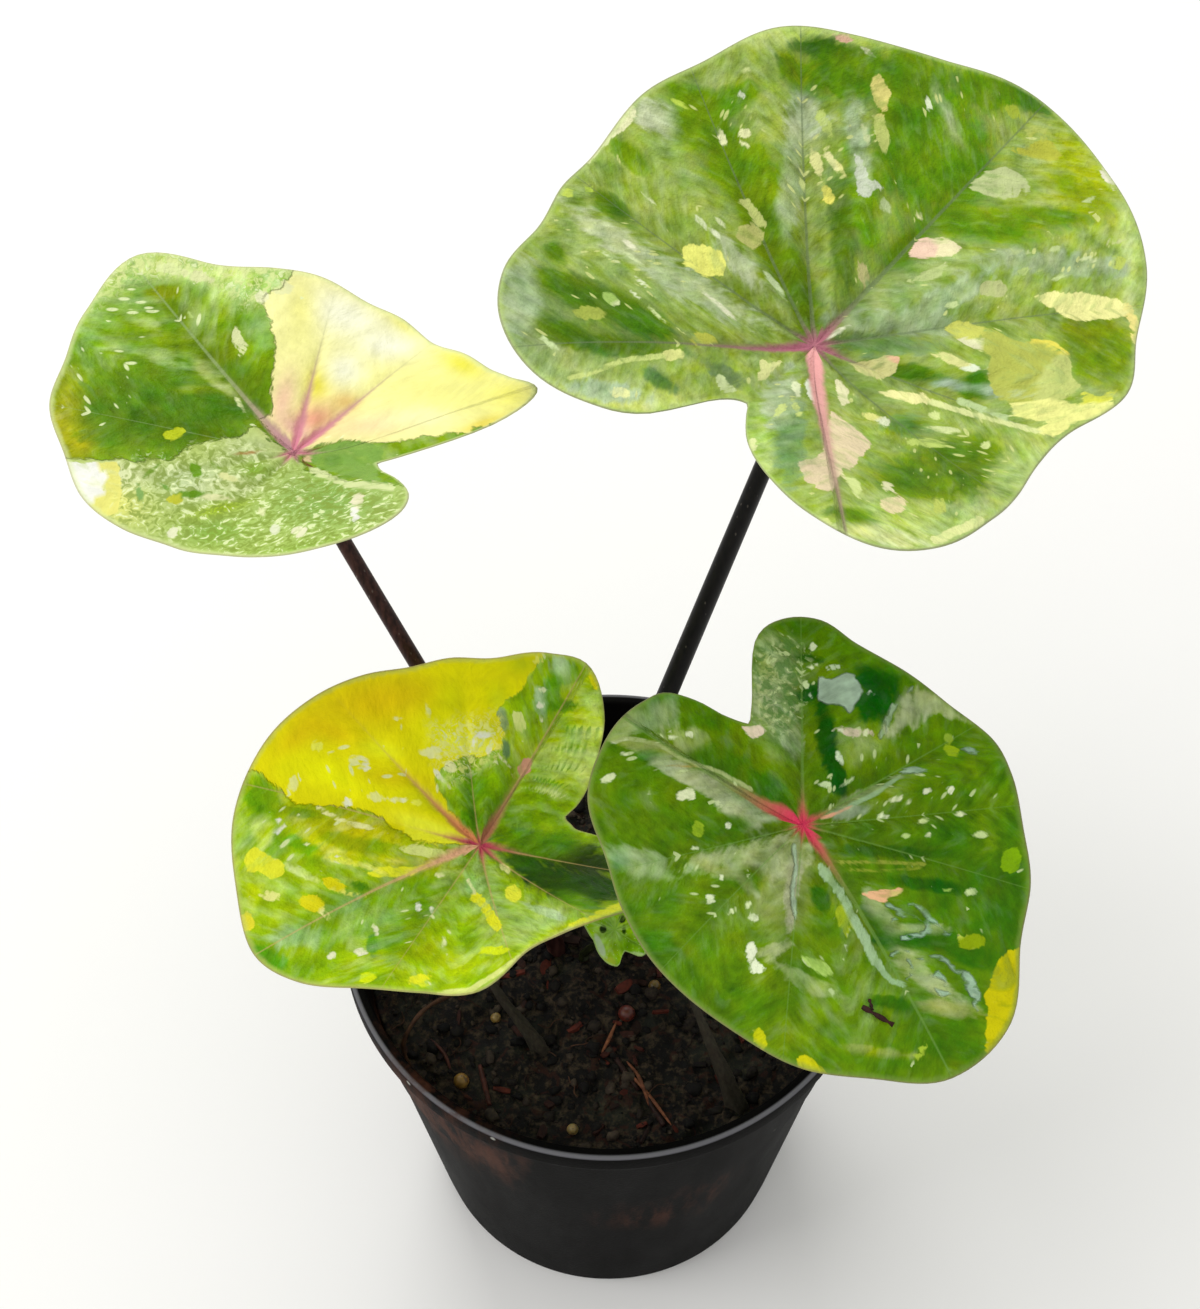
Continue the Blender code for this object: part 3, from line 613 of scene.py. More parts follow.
LOOK_1.clouds = marks(
    # Deep green
    ("446a0c", 592, 298, 46, 15, 15), ("4c7218", (560, 330, 30, 12, 20), (622, 346, 44, 8, 8)),
    ("4c7a02", 902, 100, 18, 60, 10), ("508206", 952, 168, 30, 32), ("50800a", 732, 100, 30, 12, -30),
    ("5a8008", 760, 210, 12, 40, -30), ("5a8410", 1050, 216, 40, 8, 5), ("487208", 612, 206, 24, 9, 38),
    ("5a860c", 630, 155, 24, 10, 42), ("5a8614", 690, 96, 26, 12, 20), ("58860e", 744, 168, 40, 24, 20),
    ("527e08", 700, 130, 34, 14, 10), ("4e7a0e", 556, 252, 12, 9, 30), ("426e0f", 560, 282, 26, 8, 20),
    ("3c6e06", 640, 322, 34, 12, 22), ("4a722c", 590, 344, 22, 7, 20), ("4a722e", 660, 380, 18, 7, 30),
    ("567e10", 775, 250, 16, 60, -32), ("567e08", 806, 312, 10, 30, -10), ("346000", 822, 46, 24, 10, 10),
    ("46700b", 788, 66, 8, 14, -30), ("487808", 838, 76, 36, 22, 10), ("4e7c10", 870, 70, 20, 16),
    ("4c7a06", 915, 130, 24, 56, 18), ("52860a", 942, 150, 40, 44), ("568808", 862, 200, 10, 50, -10),
    ("4a6e1c", 842, 240, 12, 60, -5), ("3e6e04", 1030, 98, 28, 10, 30), ("4e7e06", 985, 90, 30, 14, 20),
    ("548208", 984, 226, 54, 13, 6), ("729208", 1080, 190, 30, 12, 30), ("5c8004", 1102, 355, 32, 26),
    ("5c7a08", 1086, 330, 24, 14), ("3e6e12", 910, 372, 30, 8, 8), ("3c6f0c", 975, 385, 14, 16, 30),
    ("5a803a", 880, 345, 50, 8, 2), ("4c750c", (926, 482, 48, 16, 10), (958, 458, 44, 20, -8)),
    ("426a04", (905, 480, 14, 9), (965, 478, 14, 9)), ("527e1a", 850, 515, 24, 8, 10),
    ("5e8a38", 905, 425, 20, 10), ("547238", 725, 374, 20, 8, 30), ("608844", 790, 440, 14, 40),
    ("527e12", 905, 250, 24, 14, -40),
    # Painted sheen: grey-green clouds where the skin reflects the sky
    ("99b472", 806, 116, 18, 14, 20), ("9db674", 655, 118, 24, 12, 30), ("8aa85e", 790, 185, 10, 56, 6),
    ("8fac64", 700, 290, 60, 14, 30), ("98b26a", 610, 236, 50, 10, 33), ("96af6c", 740, 262, 10, 34, -38),
    ("7f9e5c", 520, 300, 16, 36), ("90ae6c", 858, 150, 8, 50, -5), ("98b46c", 950, 122, 6, 36, -25),
    ("80a05c", (940, 302, 50, 14, -30), (900, 322, 60, 8, 4)), ("7c9a58", 1060, 264, 60, 12, 4),
    ("8aab74", 990, 390, 50, 5, 8), ("8ca868", 780, 400, 16, 26), ("8cac6c", 600, 390, 40, 10, 10),
    ("a8c268", 880, 535, 50, 8, 6),
)
LOOK_1.patches = marks(
    # Yellow blotch on the left
    ("faee7c", (682, 249), (689, 243), (697, 245), (710, 246), (720, 251), (727, 263), (724, 276),
     (714, 275), (703, 276), (692, 270), (684, 262)),
    # Two olive blotches up to the left
    ("bec678", (737, 200), (749, 199), (758, 211), (767, 226), (760, 228), (751, 219), (748, 209)),
    ("b9bb70", (739, 226), (751, 225), (764, 231), (763, 242), (752, 250), (746, 244), (736, 236)),
    # Cream marks along the up vein
    ("ddd37e", (877, 70), (884, 80), (891, 94), (885, 112), (878, 111), (871, 97), (871, 84)),
    ("bdc772", (875, 114), (884, 114), (889, 134), (887, 156), (881, 150), (873, 128)),
    ("c6d09a", 866, 134, 10, 4, 80), ("b8c96e", 825, 124, 14, 6, 65), ("dcdc94", 815, 158, 17, 5, 72),
    ("ebe9a6", 832, 162, 12, 4, 60), ("e6e492", 840, 168, 9, 2.5, 55), ("e8e06c", 828, 194, 12, 6, 65),
    ("cfdc8c", 802, 186, 7, 3, 75), ("ccd4bc", (856, 153), (864, 163), (869, 178), (885, 186), (874, 190),
     (868, 198), (859, 195), (855, 176)), ("b7c890", 886, 207, 8, 4, 60), ("e4e2ac", 919, 215, 7, 3.5, 50),
    ("e2ecc8", 929, 105, 7, 3, 75),
    # By the midrib, on its far side
    ("a9ba40", 1013, 112, 9, 6, 45), ("b2bf62", 1038, 129, 16, 5, -10), ("b4b846", (1010, 149), (1030, 145),
     (1042, 137), (1054, 143), (1062, 156), (1050, 163), (1035, 160), (1021, 156)), ("bdc88e", (968, 185),
     (987, 171), (1006, 167), (1026, 178), (1029, 186), (1006, 188), (1030, 193), (1004, 199), (985, 195),
     (973, 190)), ("f2ccb4", (907, 255), (918, 240), (930, 236), (940, 246), (936, 257), (920, 257)),
    ("f5e4b6", (932, 235), (949, 238), (961, 248), (954, 258), (932, 257), (938, 246)),
    ("bac985", (902, 280), (920, 275), (934, 267), (948, 263), (944, 274), (930, 280), (913, 282)),
    ("bbb57c", 864, 275, 12, 5, 80), ("b9c084", 993, 289, 15, 8, 8), ("d8bc90", 990, 289, 5, 3),
    ("b8c888", 1013, 252, 14, 4), ("b2c678", 1026, 271, 13, 3.5, -10), ("b8c888", 1057, 249, 9, 3),
    ("bbcb60", 1117, 263, 13, 7, 10), ("c3cc8c", 1117, 240, 12, 3, -10), ("c8d49c", 1090, 259, 9, 3),
    ("c3d494", 950, 305, 9, 3), ("c2d490", 1060, 276, 10, 2.5, -20), ("bccc8c", 1090, 200, 8, 3, -20),
    # Cream strip at the right margin
    ("fbeb9c", (1032, 298), (1042, 293), (1083, 292), (1122, 301), (1134, 314), (1112, 318), (1076, 322),
     (1062, 315), (1050, 306)), ("f5e08a", 5, (1128, 306), (1134, 322), (1139, 345)),
    ("f5ead0", 1108, 174, 16, 6, 62),
    # Big pale area
    ("c6ca62", (944, 330), (954, 320), (968, 322), (985, 328), (975, 342), (956, 339)),
    ("dfdfb2", 974, 342, 18, 5, 18), ("b4bb58", (985, 328), (1021, 342), (1042, 341), (1058, 352),
     (1050, 380), (1054, 396), (1016, 402), (998, 400), (990, 384), (988, 365), (992, 356), (978, 346)),
    ("c3cc78", (1040, 362), (1062, 350), (1070, 358), (1072, 377), (1084, 388), (1060, 400), (1020, 398),
     (1018, 372)), ("e4d95c", 3, (1034, 342), (1052, 344), (1066, 354)), ("f8ef92", (1010, 404), (1050, 398),
     (1078, 405), (1113, 400), (1116, 412), (1074, 423), (1055, 438), (1036, 432), (1047, 423), (1014, 416)),
    ("d9dc52", (1080, 388), (1098, 396), (1116, 390), (1112, 402), (1084, 404)),
    # Pale line along the lower right vein, and marks beside it
    ("f1e9a2", (876, 392), (900, 390), (924, 394), (934, 403), (913, 404), (895, 400)),
    ("dce29c", 2.6, (930, 402), (975, 415), (1040, 432)), ("b9cd92", 3, (960, 401), (1006, 418)),
    ("dcdc92", (928, 352), (948, 353), (971, 363), (967, 368), (951, 364), (937, 357)),
    ("dfe8ca", 972, 368, 8, 3.5, 10), ("e6e6c8", 836, 333, 14, 2.5, -28), ("ccc888", (849, 363), (868, 361),
     (884, 355), (896, 361), (895, 372), (881, 380), (865, 376)), ("e2b692", 893, 359, 5, 5),
    ("dcdc84", 872, 417, 9, 3, 15), ("e6ecc8", 884, 422, 6, 4),
    # Pink and cream round the down vein
    ("e2cfaa", (826, 428), (832, 412), (842, 418), (857, 428), (872, 445), (860, 457), (852, 471),
     (842, 468), (835, 486), (830, 493), (817, 487), (804, 479), (796, 461), (815, 457), (824, 449)),
    ("e3dfb2", (836, 378), (848, 390), (849, 402), (841, 408), (837, 396)), ("e8eed4", 813, 391, 11, 6, 70),
    ("dfe6ba", 796, 388, 9, 4, 70), ("c9d784", 780, 410, 8, 4, -50), ("c6d47c", 796, 408, 8, 4, 60),
    ("cfdc90", 855, 487, 12, 5, 60), ("e6d8a6", 893, 504, 13, 8, 10), ("e0ddb0", 888, 488, 6, 4, 30),
    ("d2dd9c", 942, 430, 18, 3.5, 5), ("bccf6e", 930, 443, 20, 5, 5), ("b9c660", 940, 507, 6, 8),
    ("dfe49c", 5, (936, 540), (960, 530), (980, 520)), ("d6e08c", 826, 523, 8, 4, 30),
    ("e0e6a4", 753, 444, 5, 6), ("cfdc90", (935, 415, 6, 4), (985, 445, 5, 4)),
    # Marks in the left lobe
    ("dddf98", (758, 358), (767, 362), (782, 362), (771, 371), (766, 380), (756, 381), (761, 369)),
    ("c8d69c", (716, 375), (722, 375), (737, 390), (727, 395), (718, 388)), ("a9b652", 588, 313, 17, 7, 3),
    ("b9be50", 703, 339, 12, 6, 5), ("dce08c", 675, 355, 14, 5, -3), ("c8d680", 2.5, (664, 356), (624, 360),
     (596, 371), (569, 379)), ("e3e69e", 620, 392, 10, 6, 10), ("c9dba0", 551, 344, 12, 3, 35),
    ("a9c96a", 610, 298, 9, 6, 40), ("d8e4a8", 615, 302, 5, 4), ("eef0ca", 630, 245, 9, 2.6, 38),
    ("d8e6ac", (610, 257, 11, 1.8, 38), (633, 258, 12, 1.8, 38)), ("dfe8bc", (641, 282, 9, 2.2, 40),
     (636, 295, 8, 2, 40)), ("cfe09c", 656, 313, 11, 2, 45), ("eef2cc", 720, 306, 18, 2.4, 42),
    ("dfe8bc", 701, 222, 9, 3, 45), ("e4ecc4", 716, 234, 8, 2.2, 42), ("dfe8b4", 720, 222, 7, 2, 45),
    ("c6d8a4", 776, 286, 15, 3, 55), ("dfe8b4", 649, 199, 13, 1.8, 52), ("f2f4dc", 741, 95, 5, 5),
    ("dbe69c", 747, 70, 7, 3, -10), ("eceeb8", 721, 136, 10, 3.4, 68), ("e8eab0", 745, 133, 7, 4, -20),
    ("e6eab0", 745, 145, 5, 2.5, 30), ("c9dc5c", 568, 193, 6, 5), ("b8d450", 588, 190, 5, 5),
    ("c0d858", 679, 104, 9, 3, 30),
    # Cream edge at the upper left, and the fold at the top
    ("f3eebc", (634, 104), (637, 116), (624, 130), (610, 140), (595, 156), (586, 164), (574, 168),
     (586, 148), (606, 127), (622, 110)), ("e0b49a", 842, 37, 10, 5, 15), ("d8dcb4", 868, 52, 9, 2.5, 35),
)
LOOK_1.speckled = marks(
    ("ffffff", (660, 265, 100, 50, 30), (610, 300, 60, 24, 30), (1080, 255, 70, 40), (970, 450, 80, 46, -10),
     (800, 150, 60, 70), (575, 190, 30, 16), (740, 130, 40, 40), (960, 100, 50, 30), (800, 400, 40, 30)),
)
LOOK_2 = Look(
    ground="6d9f26", speck="e6efb8", gain=(1.08, 0.89, 0.76), pale_gain=0.9, vein="9db478", flush="de8c9e",
    flushed={-14: (16, 1.4, "c8949a"), -64: (22, 0.9), -104: (24, 0.9), -152: (6, 0.5), 30: (2, 0.3),
        62: (4, 0.5), 98: (4, 0.5), 150: (3, 0.5)},
    rim="d3df9c", seam="b3ac84", roughness=0.45,
)
LOOK_2.tints = marks(
    ("5c8c08", 150, 395, 60, 36), ("a4d488", 120, 285, 40, 24), ("c8f0a4", 205, 273, 80, 12, 6),
    ("bcec98", 240, 290, 34, 18), ("88b85c", 100, 335, 28, 40, 20), ("a3b31c", 62, 420, 18, 34),
    ("a8b410", 76, 446, 14, 12), ("80ac48", 236, 340, 28, 34), ("8cc070", 262, 330, 12, 24),
    ("93b848", 330, 545, 90, 12, -8), ("8fb85a", 350, 450, 40, 10), ("84ae50", 420, 443, 40, 7, -6),
)
LOOK_2.clouds = marks(
    ("568a08", 140, 400, 50, 26), ("4a8008", 205, 408, 34, 14, 8), ("5a8a08", 150, 438, 60, 8),
    ("6e9a0c", 160, 345, 40, 10, 10), ("74a014", 125, 316, 22, 6, 15), ("80a024", 165, 292, 24, 7),
    ("68940c", 176, 310, 16, 8, 40), ("649418", 252, 388, 16, 20), ("6c9418", 218, 352, 12, 18, 40),
    # Painted sheen: the lighter grey-green clouds from here on, in chevrons along the midrib.
    ("94c078", 158, 354, 40, 7, 12), ("98c474", 138, 318, 28, 6, 35), ("8fba64", 200, 318, 10, 40, -30),
    ("a4c87c", 208, 372, 30, 5, 40), ("98c470", 140, 300, 20, 5, 5), ("88ac50", 190, 390, 14, 4),
    ("8cc068", 90, 310, 20, 26), ("588c18", 350, 466, 22, 8, 15), ("6a9c40", 300, 490, 20, 6),
)
LOOK_2.zones = marks(
    ("fbf7a8", (300, 262), (286, 284), (262, 296), (268, 320), (275, 336), (276, 352), (275, 372),
     (272, 395), (270, 414), (260, 420), (278, 440), (296, 452), (318, 446), (345, 440), (375, 443),
     (420, 438), (458, 433), (500, 424), (550, 390), (470, 340), (380, 290)), ("bdd076", (52, 458),
     (110, 460), (170, 460), (190, 446), (215, 440), (240, 436), (252, 424), (280, 446), (296, 458),
     (306, 470), (345, 480), (400, 484), (430, 500), (400, 570), (60, 570)),
)
LOOK_2.zone_tints = marks(
    ("f5f190", 460, 395, 70, 30, 12), ("f2ec52", 462, 364, 20, 9, 25), ("f2ee70", 375, 305, 26, 8, 28),
    ("f0ea50", 402, 326, 14, 5, 35), ("f5f28c", 362, 340, 16, 16), ("efe444", 318, 384, 11, 15, 10),
    ("fefde0", 345, 315, 40, 20, 20), ("fefde2", 386, 345, 24, 12), ("fffee0", 345, 370, 16, 14),
    ("f2a98c", 314, 420, 22, 13, -15), ("f2cba8", 283, 400, 10, 24, 15), ("eecb80", 345, 402, 12, 8),
    ("fbe3ac", 372, 425, 34, 10, -8), ("ecd84c", 482, 424, 18, 5, -20), ("f4ee76", 510, 395, 20, 12),
    ("fbf8b8", 420, 418, 30, 8), ("f8f498", 300, 310, 14, 30), ("f3c0b0", 296, 428, 14, 8, 30),
    ("8fb64c", 215, 532, 34, 14), ("8fb85c", 330, 500, 60, 30), ("9cc050", 330, 548, 90, 10, -8),
    ("c4d4a4", 200, 482, 40, 14), ("cfdca0", 250, 450, 24, 12), ("e9e97c", 110, 500, 24, 16, 20),
    ("dfe6b0", 120, 475, 20, 12), ("84ae2c", 254, 472, 12, 10), ("a3c01c", 222, 508, 26, 5, -14),
    ("d2de9c", 230, 485, 30, 8),
)
LOOK_2.patches = marks(
    ("fdfdf2", (64, 462), (98, 463), (106, 476), (104, 490), (92, 504), (76, 504), (60, 490)),
    ("ece87c", (98, 463), (116, 462), (122, 484), (118, 512), (100, 518), (82, 506), (104, 492), (107, 476)),
    ("f6f3c0", 112, 492, 7, 12), ("c9d62e", (164, 431), (178, 429), (187, 427), (184, 436), (172, 440),
     (165, 437)), ("e6ebb0", 237, 338, 10, 5, 80), ("dfe8a4", 243, 351, 8, 2.2, -60),
    ("c4dc84", 192, 315, 4, 7), ("f2f3c4", 262, 297, 8, 6), ("eef0b4", 282, 288, 10, 6),
    ("e6ecae", 196, 276, 16, 5, 15), ("e2eca8", 170, 268, 12, 6), ("e6ecb0", 240, 404, 12, 2.6, 58),
    # By the joint, the fold of the sinus
    ("86ae52", (312, 450), (345, 441), (375, 444), (385, 447), (383, 460), (376, 476), (390, 484),
     (352, 478), (318, 468), (306, 460)), ("e0c49a", 312, 459, 9, 4), ("d9c08c", 374, 457, 6, 5),
    ("6b4a30", 1.1, (345, 446), (318, 449), (303, 454), (303, 461), (314, 469)), ("dde7a8", 3.2, (312, 470),
     (328, 477), (350, 484), (392, 487)), ("f3ecc8", 358, 500, 6, 7, 60), ("f4f4ea", 355, 514, 10, 3.6, 78),
    ("f1f0c8", 299, 532, 8, 6), ("ecefd0", 276, 530, 6, 6), ("eef0c8", 173, 532, 5, 6),
    ("6d9c22", 196, 471, 9, 5, 60), ("6a9a1c", 194, 494, 14, 3), ("74a040", 168, 489, 8, 2, 40),
    ("7ea238", (215, 466, 8, 2.5, 40), (152, 470, 10, 2, -40)), ("c9cc3c", 175, 499, 7, 5),
    ("84ac5c", 140, 494, 3, 12, -20), ("e4e7a2", 228, 477, 10, 3, 20), ("e8e9b0", 215, 497, 16, 3, 5),
    ("b08a50", 246, 453, 12, 1.5, -5), ("e6eab0", (300, 500, 4, 3), (262, 512, 5, 4)),
)
LOOK_2.mottled = marks(
    ("7c9e44", (110, 462), (190, 448), (246, 440), (300, 470), (345, 484), (405, 494), (396, 526),
     (330, 555), (250, 560), (180, 545), (110, 520)), ("d4f0b0", (88, 310), (100, 262), (157, 246),
     (300, 262), (268, 300), (245, 306), (215, 284), (178, 272), (130, 280)),
)
LOOK_2.speckled = marks(
    ("ffffff", (100, 385, 50, 50), (140, 300, 60, 40), (330, 525, 60, 24)),
)
# Leaf 3's high gain and pale_gain are partly painted light, brightening a leaf that this scene lights less.
LOOK_3 = Look(
    ground="84ad2a", speck="e8f0b4", gain=(1.72, 1.41, 2.15), pale_gain=1.36, vein="b89c68", flush="a83c54",
    flushed={-144: (15, 1.1, "98604c"), -65: (20, 1.0, "c07850"), 0: (18, 1.3, "d0a080"), -37: (9, 0.7),
        70: (5, 0.7), 105: (6, 0.7), 141: (8, 0.8), 35: (2, 0.4), -108: (3, 0.4)},
    rim="bcc86a", seam="a3866a", roughness=0.45,
)
LOOK_3.tints = marks(
    # Painted sheen in the lighter tints 8fbc4a and 96bd58.
    ("8fbc4a", 260, 830, 24, 24), ("6aa01c", 290, 835, 30, 14, 20), ("7aa840", 350, 920, 50, 26, -15),
    ("78a83c", 420, 895, 40, 20), ("8cb430", 430, 965, 60, 18, -8), ("8cba50", 480, 880, 16, 26, -20),
    ("96bd58", 530, 925, 40, 14, -25), ("a0c232", 560, 935, 40, 6, -24), ("6a9810", 285, 960, 56, 14, 20),
    ("a9b428", 350, 828, 50, 14, 12), ("a4b62c", 380, 852, 50, 10, 15), ("b4c63c", 330, 850, 24, 6, 20),
    ("aed04c", 592, 735, 18, 44), ("acd060", 575, 760, 30, 16), ("6aa524", 480, 790, 22, 20),
    ("70a028", 530, 815, 40, 16), ("558610", 550, 842, 36, 14), ("8aab20", 300, 805, 24, 6, 10),
    ("9abb30", 250, 900, 10, 30),
)
LOOK_3.clouds = marks(
    ("4a8c08", 265, 955, 22, 8, 30), ("568f10", 262, 800, 14, 20, -20), ("6c9408", 300, 812, 24, 5, 10),
    ("5a9a14", 300, 845, 20, 6, 25), ("7f9c08", 345, 842, 28, 7, 20), ("7ba008", 385, 848, 24, 6, 15),
    ("3f7c10", 360, 886, 10, 5, 20), ("6a982c", 330, 930, 10, 24, 10), ("6c9c34", 390, 930, 12, 26),
    ("508430", 372, 945, 5, 10), ("7ca008", 430, 950, 24, 14), ("669424", 415, 905, 14, 24),
    ("4f8f10", 470, 820, 10, 12), ("5a8a10", 492, 812, 8, 20, 25), ("4c8008", 540, 844, 40, 11, 12),
    # Painted shadow: the near-black clouds in these two rows, by the leaf's right edge.
    ("163c04", 552, 880, 34, 14, 16), ("1c3202", 590, 862, 30, 14, 8), ("1a4006", 600, 888, 26, 12, 10),
    ("2c5a0c", 525, 862, 20, 7, 20), ("4b8410", 575, 898, 20, 6, 22), ("5c9420", 552, 690, 7, 20, 10),
    ("689c1c", 572, 672, 12, 9), ("4f8c14", 566, 706, 14, 6), ("6c9410", 520, 690, 8, 14),
    ("6c8c50", 502, 722, 6, 12, -10), ("587c44", 506, 750, 4, 10), ("6f9d28", (575, 728, 20, 3),
     (570, 748, 20, 2.5), (560, 768, 22, 2.5, 4)), ("649824", 548, 782, 24, 3, 12),
    # Painted sheen: the lighter clouds from here on, on the ridges by the side veins and in grey-green
    # streaks.
    ("a3c854", 580, 738, 22, 3), ("a8cb5c", 570, 757, 24, 3), ("a6c658", 545, 792, 22, 3, 14),
    ("94be78", 560, 666, 14, 8, 35), ("8fb572", 540, 700, 6, 14), ("86b258", 300, 935, 26, 10),
    ("a9cb54", 262, 835, 10, 16), ("8cb552", 500, 912, 16, 6, 30), ("9cc050", 300, 872, 34, 4, 22),
    ("b4c93a", 350, 862, 44, 3, 14), ("86b94c", 470, 880, 5, 14), ("92b76c", 545, 912, 20, 4, 20),
    ("78a748", 350, 905, 20, 6, -20),
)
LOOK_3.zones = marks(
    ("cdc50c", (548, 640), (540, 662), (530, 675), (522, 690), (505, 700), (497, 712), (503, 735),
     (500, 748), (485, 757), (465, 757), (448, 764), (434, 776), (440, 792), (452, 812), (466, 830),
     (470, 844), (440, 846), (415, 839), (390, 826), (372, 812), (345, 806), (320, 806), (300, 803),
     (285, 797), (272, 782), (258, 772), (236, 768), (260, 700), (360, 640)),
)
LOOK_3.zone_tints = marks(
    ("cfb406", 380, 700, 60, 22, -8), ("cdb20a", 340, 735, 30, 8, 20), ("cbb008", 290, 745, 30, 10, -45),
    ("d9d80e", 340, 775, 60, 16, 14), ("e3de3a", 430, 828, 34, 8, 20), ("ddd622", 380, 750, 30, 12, 10),
    ("d6d410", 440, 730, 24, 20), ("c9b80c", 400, 780, 34, 8, 10), ("d6d010", 500, 690, 24, 14),
    ("dccf10", 450, 668, 40, 8), ("cfc90c", 490, 665, 40, 8), ("e6e24c", 470, 745, 20, 10),
    ("c4c41c", 420, 800, 20, 10, 30), ("d2cf12", 290, 770, 16, 12), ("b4ba1c", 522, 664, 12, 8),
    ("c4c820", 498, 700, 10, 12), ("c0c428", 486, 730, 10, 6), ("ccca18", 452, 700, 14, 22),
)
LOOK_3.patches = marks(
    # Blotches down the left side
    ("ecea34", (244, 856), (254, 847), (268, 855), (286, 865), (282, 876), (273, 881), (258, 871),
     (247, 873)), ("f7f4a4", 262, 866, 7, 5, 50), ("dddc80", 272, 895, 10, 5, 5),
    ("e0cc34", 247, 922, 7, 11), ("cdc420", 311, 903, 13, 7, 20), ("dfe08c", 322, 911, 12, 3, 45),
    ("cfc61e", 334, 884, 11, 6, 15), ("dbe060", 350, 894, 11, 2.5, 10), ("e6de2c", (363, 872), (384, 866),
     (408, 867), (440, 860), (412, 875), (382, 878)), ("ece432", (404, 818), (420, 822), (440, 832),
     (462, 843), (440, 846), (418, 841), (404, 832)),
    # Yellow strokes down the leaf
    ("dad42c", 5, (476, 897), (486, 908), (496, 926)), ("eeeaa0", 2, (468, 880), (480, 902)),
    ("d4d43c", 513, 894, 8, 9), ("e4e88c", 505, 868, 6, 3, 40), ("c8d622", 492, 950, 14, 4),
    ("c6d81e", 367, 977, 9, 5, -10), ("d6e22c", 418, 979, 10, 5, -15), ("c9dc30", 424, 984, 8, 3),
    # Pale flecks in the gold
    ("f2ee9c", 397, 718, 5, 4), ("f0ec80", 428, 713, 2.5, 7, -10), ("e3df50", 317, 746, 5, 6),
    ("f0ec84", 292, 785, 4.5, 9, 8), ("f3f08c", 353, 760, 4.5, 4), ("f5f2a8", 363, 758, 6, 2.5, 20),
    ("f5f2b4", 367, 768, 4, 5), ("f1efc0", 348, 802, 6, 5), ("efea86", 375, 797, 9, 5, 15),
    ("f2eeac", 397, 800, 8, 3.5), ("e9e54c", 416, 803, 5, 3), ("f6f096", 434, 753, 7, 6, 20),
    ("f0ec9c", 450, 767, 6, 6), ("f4ee8c", 423, 752, 4, 3), ("f8f3c8", (481, 735, 9, 2.5),
     (474, 744, 2.5, 8, 20)), ("f3efa8", 489, 751, 3, 5), ("f6f2b8", 462, 748, 6, 2.5, 20),
    ("f4f0b4", 441, 778, 10, 3, 50),
    # Beside the upper right vein
    ("cfd984", (513, 712), (522, 714), (528, 726), (522, 736), (514, 727)), ("dff0bc", 541, 705, 4, 4),
    ("d6ecb0", 541, 719, 2.5, 4), ("cfe6a8", 543, 690, 5, 2.5), ("d8ecb4", 559, 727, 3.5, 2),
    ("ece86a", 538, 660, 5, 5), ("d2cc1c", 594, 678, 4, 11, -20), ("c98f7c", 524, 768, 11, 6, -50),
    ("e0d0b0", 503, 760, 9, 1.5, 45),
    # Left vein's pale sides, and specks
    ("d6d494", 2.5, (318, 808), (345, 822), (372, 828)), ("c9cf7c", 425, 852, 26, 5, 8),
    ("e4efc8", 277, 818, 8, 2, 35), ("e6f0cc", 276, 832, 3.5, 4), ("dfecb8", (283, 826, 7, 2, 35),
     (283, 847, 4, 2.5)), ("e6f0c8", 335, 855, 8, 1.6, 20), ("d4e6a0", 305, 843, 5, 2, 20),
    ("e6f2cc", 418, 907, 3.5, 4), ("e0efc0", 432, 911, 3, 4), ("dcecb4", (376, 930, 2.8, 5, -10),
     (360, 951, 7, 4, 10), (331, 956, 4, 3.5), (374, 947, 3, 2.5), (250, 900, 3.5, 3)),
    ("d6e8a0", 441, 875, 5, 3.5), ("d0e4a0", 443, 944, 3, 6),
    # Yellow and pale margins
    ("dcd832", 4, (574, 926), (598, 916), (622, 906)), ("ccd37c", 2.6, (440, 994), (470, 990), (500, 972),
     (530, 950), (574, 928)),
)
LOOK_3.mottled = marks(
    ("e6e46a", (430, 725), (500, 715), (498, 760), (450, 785), (436, 765)),
)
LOOK_3.speckled = marks(
    ("ffffff", (360, 770, 60, 40), (290, 840, 50, 30, 20), (400, 920, 60, 40)),
)
LOOK_4 = Look(
    ground="54800c", speck="cfe0a0", vein="6f9448", flush="d63c5e",
    flushed={-147: (12, 3.2), 150: (6, 1.0), 0: (11, 1.6), 95: (5, 0.9), 66: (3, 0.5), 43: (3, 0.6),
        -35: (4, 0.5), -70: (3, 0.4), -101: (3, 0.4)},
    rim="7f9c44", seam="8c7c5c", gain=(1.3, 1.14, 1.32), pale_gain=1.08, roughness=0.4,
)
LOOK_4.tints = marks(
    ("57811e", 640, 780, 50, 40), ("447900", 975, 850, 40, 100), ("5a8700", 940, 760, 50, 40),
    ("62892c", 740, 930, 34, 40, -20), ("678e30", 830, 1030, 60, 26), ("6a9440", 890, 985, 50, 26),
    # Painted sheen in the greyer tints 859c54, 87a366, 81a152 and 779740.
    ("859c54", 780, 880, 30, 40), ("87a366", 775, 690, 22, 50, 5), ("568100", 660, 940, 40, 60, -30),
    ("81a152", 860, 745, 24, 16, -20), ("779740", 880, 800, 34, 8, -25), ("678934", 860, 950, 20, 30),
    ("5e890c", 700, 960, 24, 24), ("5d871e", 690, 840, 40, 14), ("648904", 735, 745, 16, 26, -30),
)
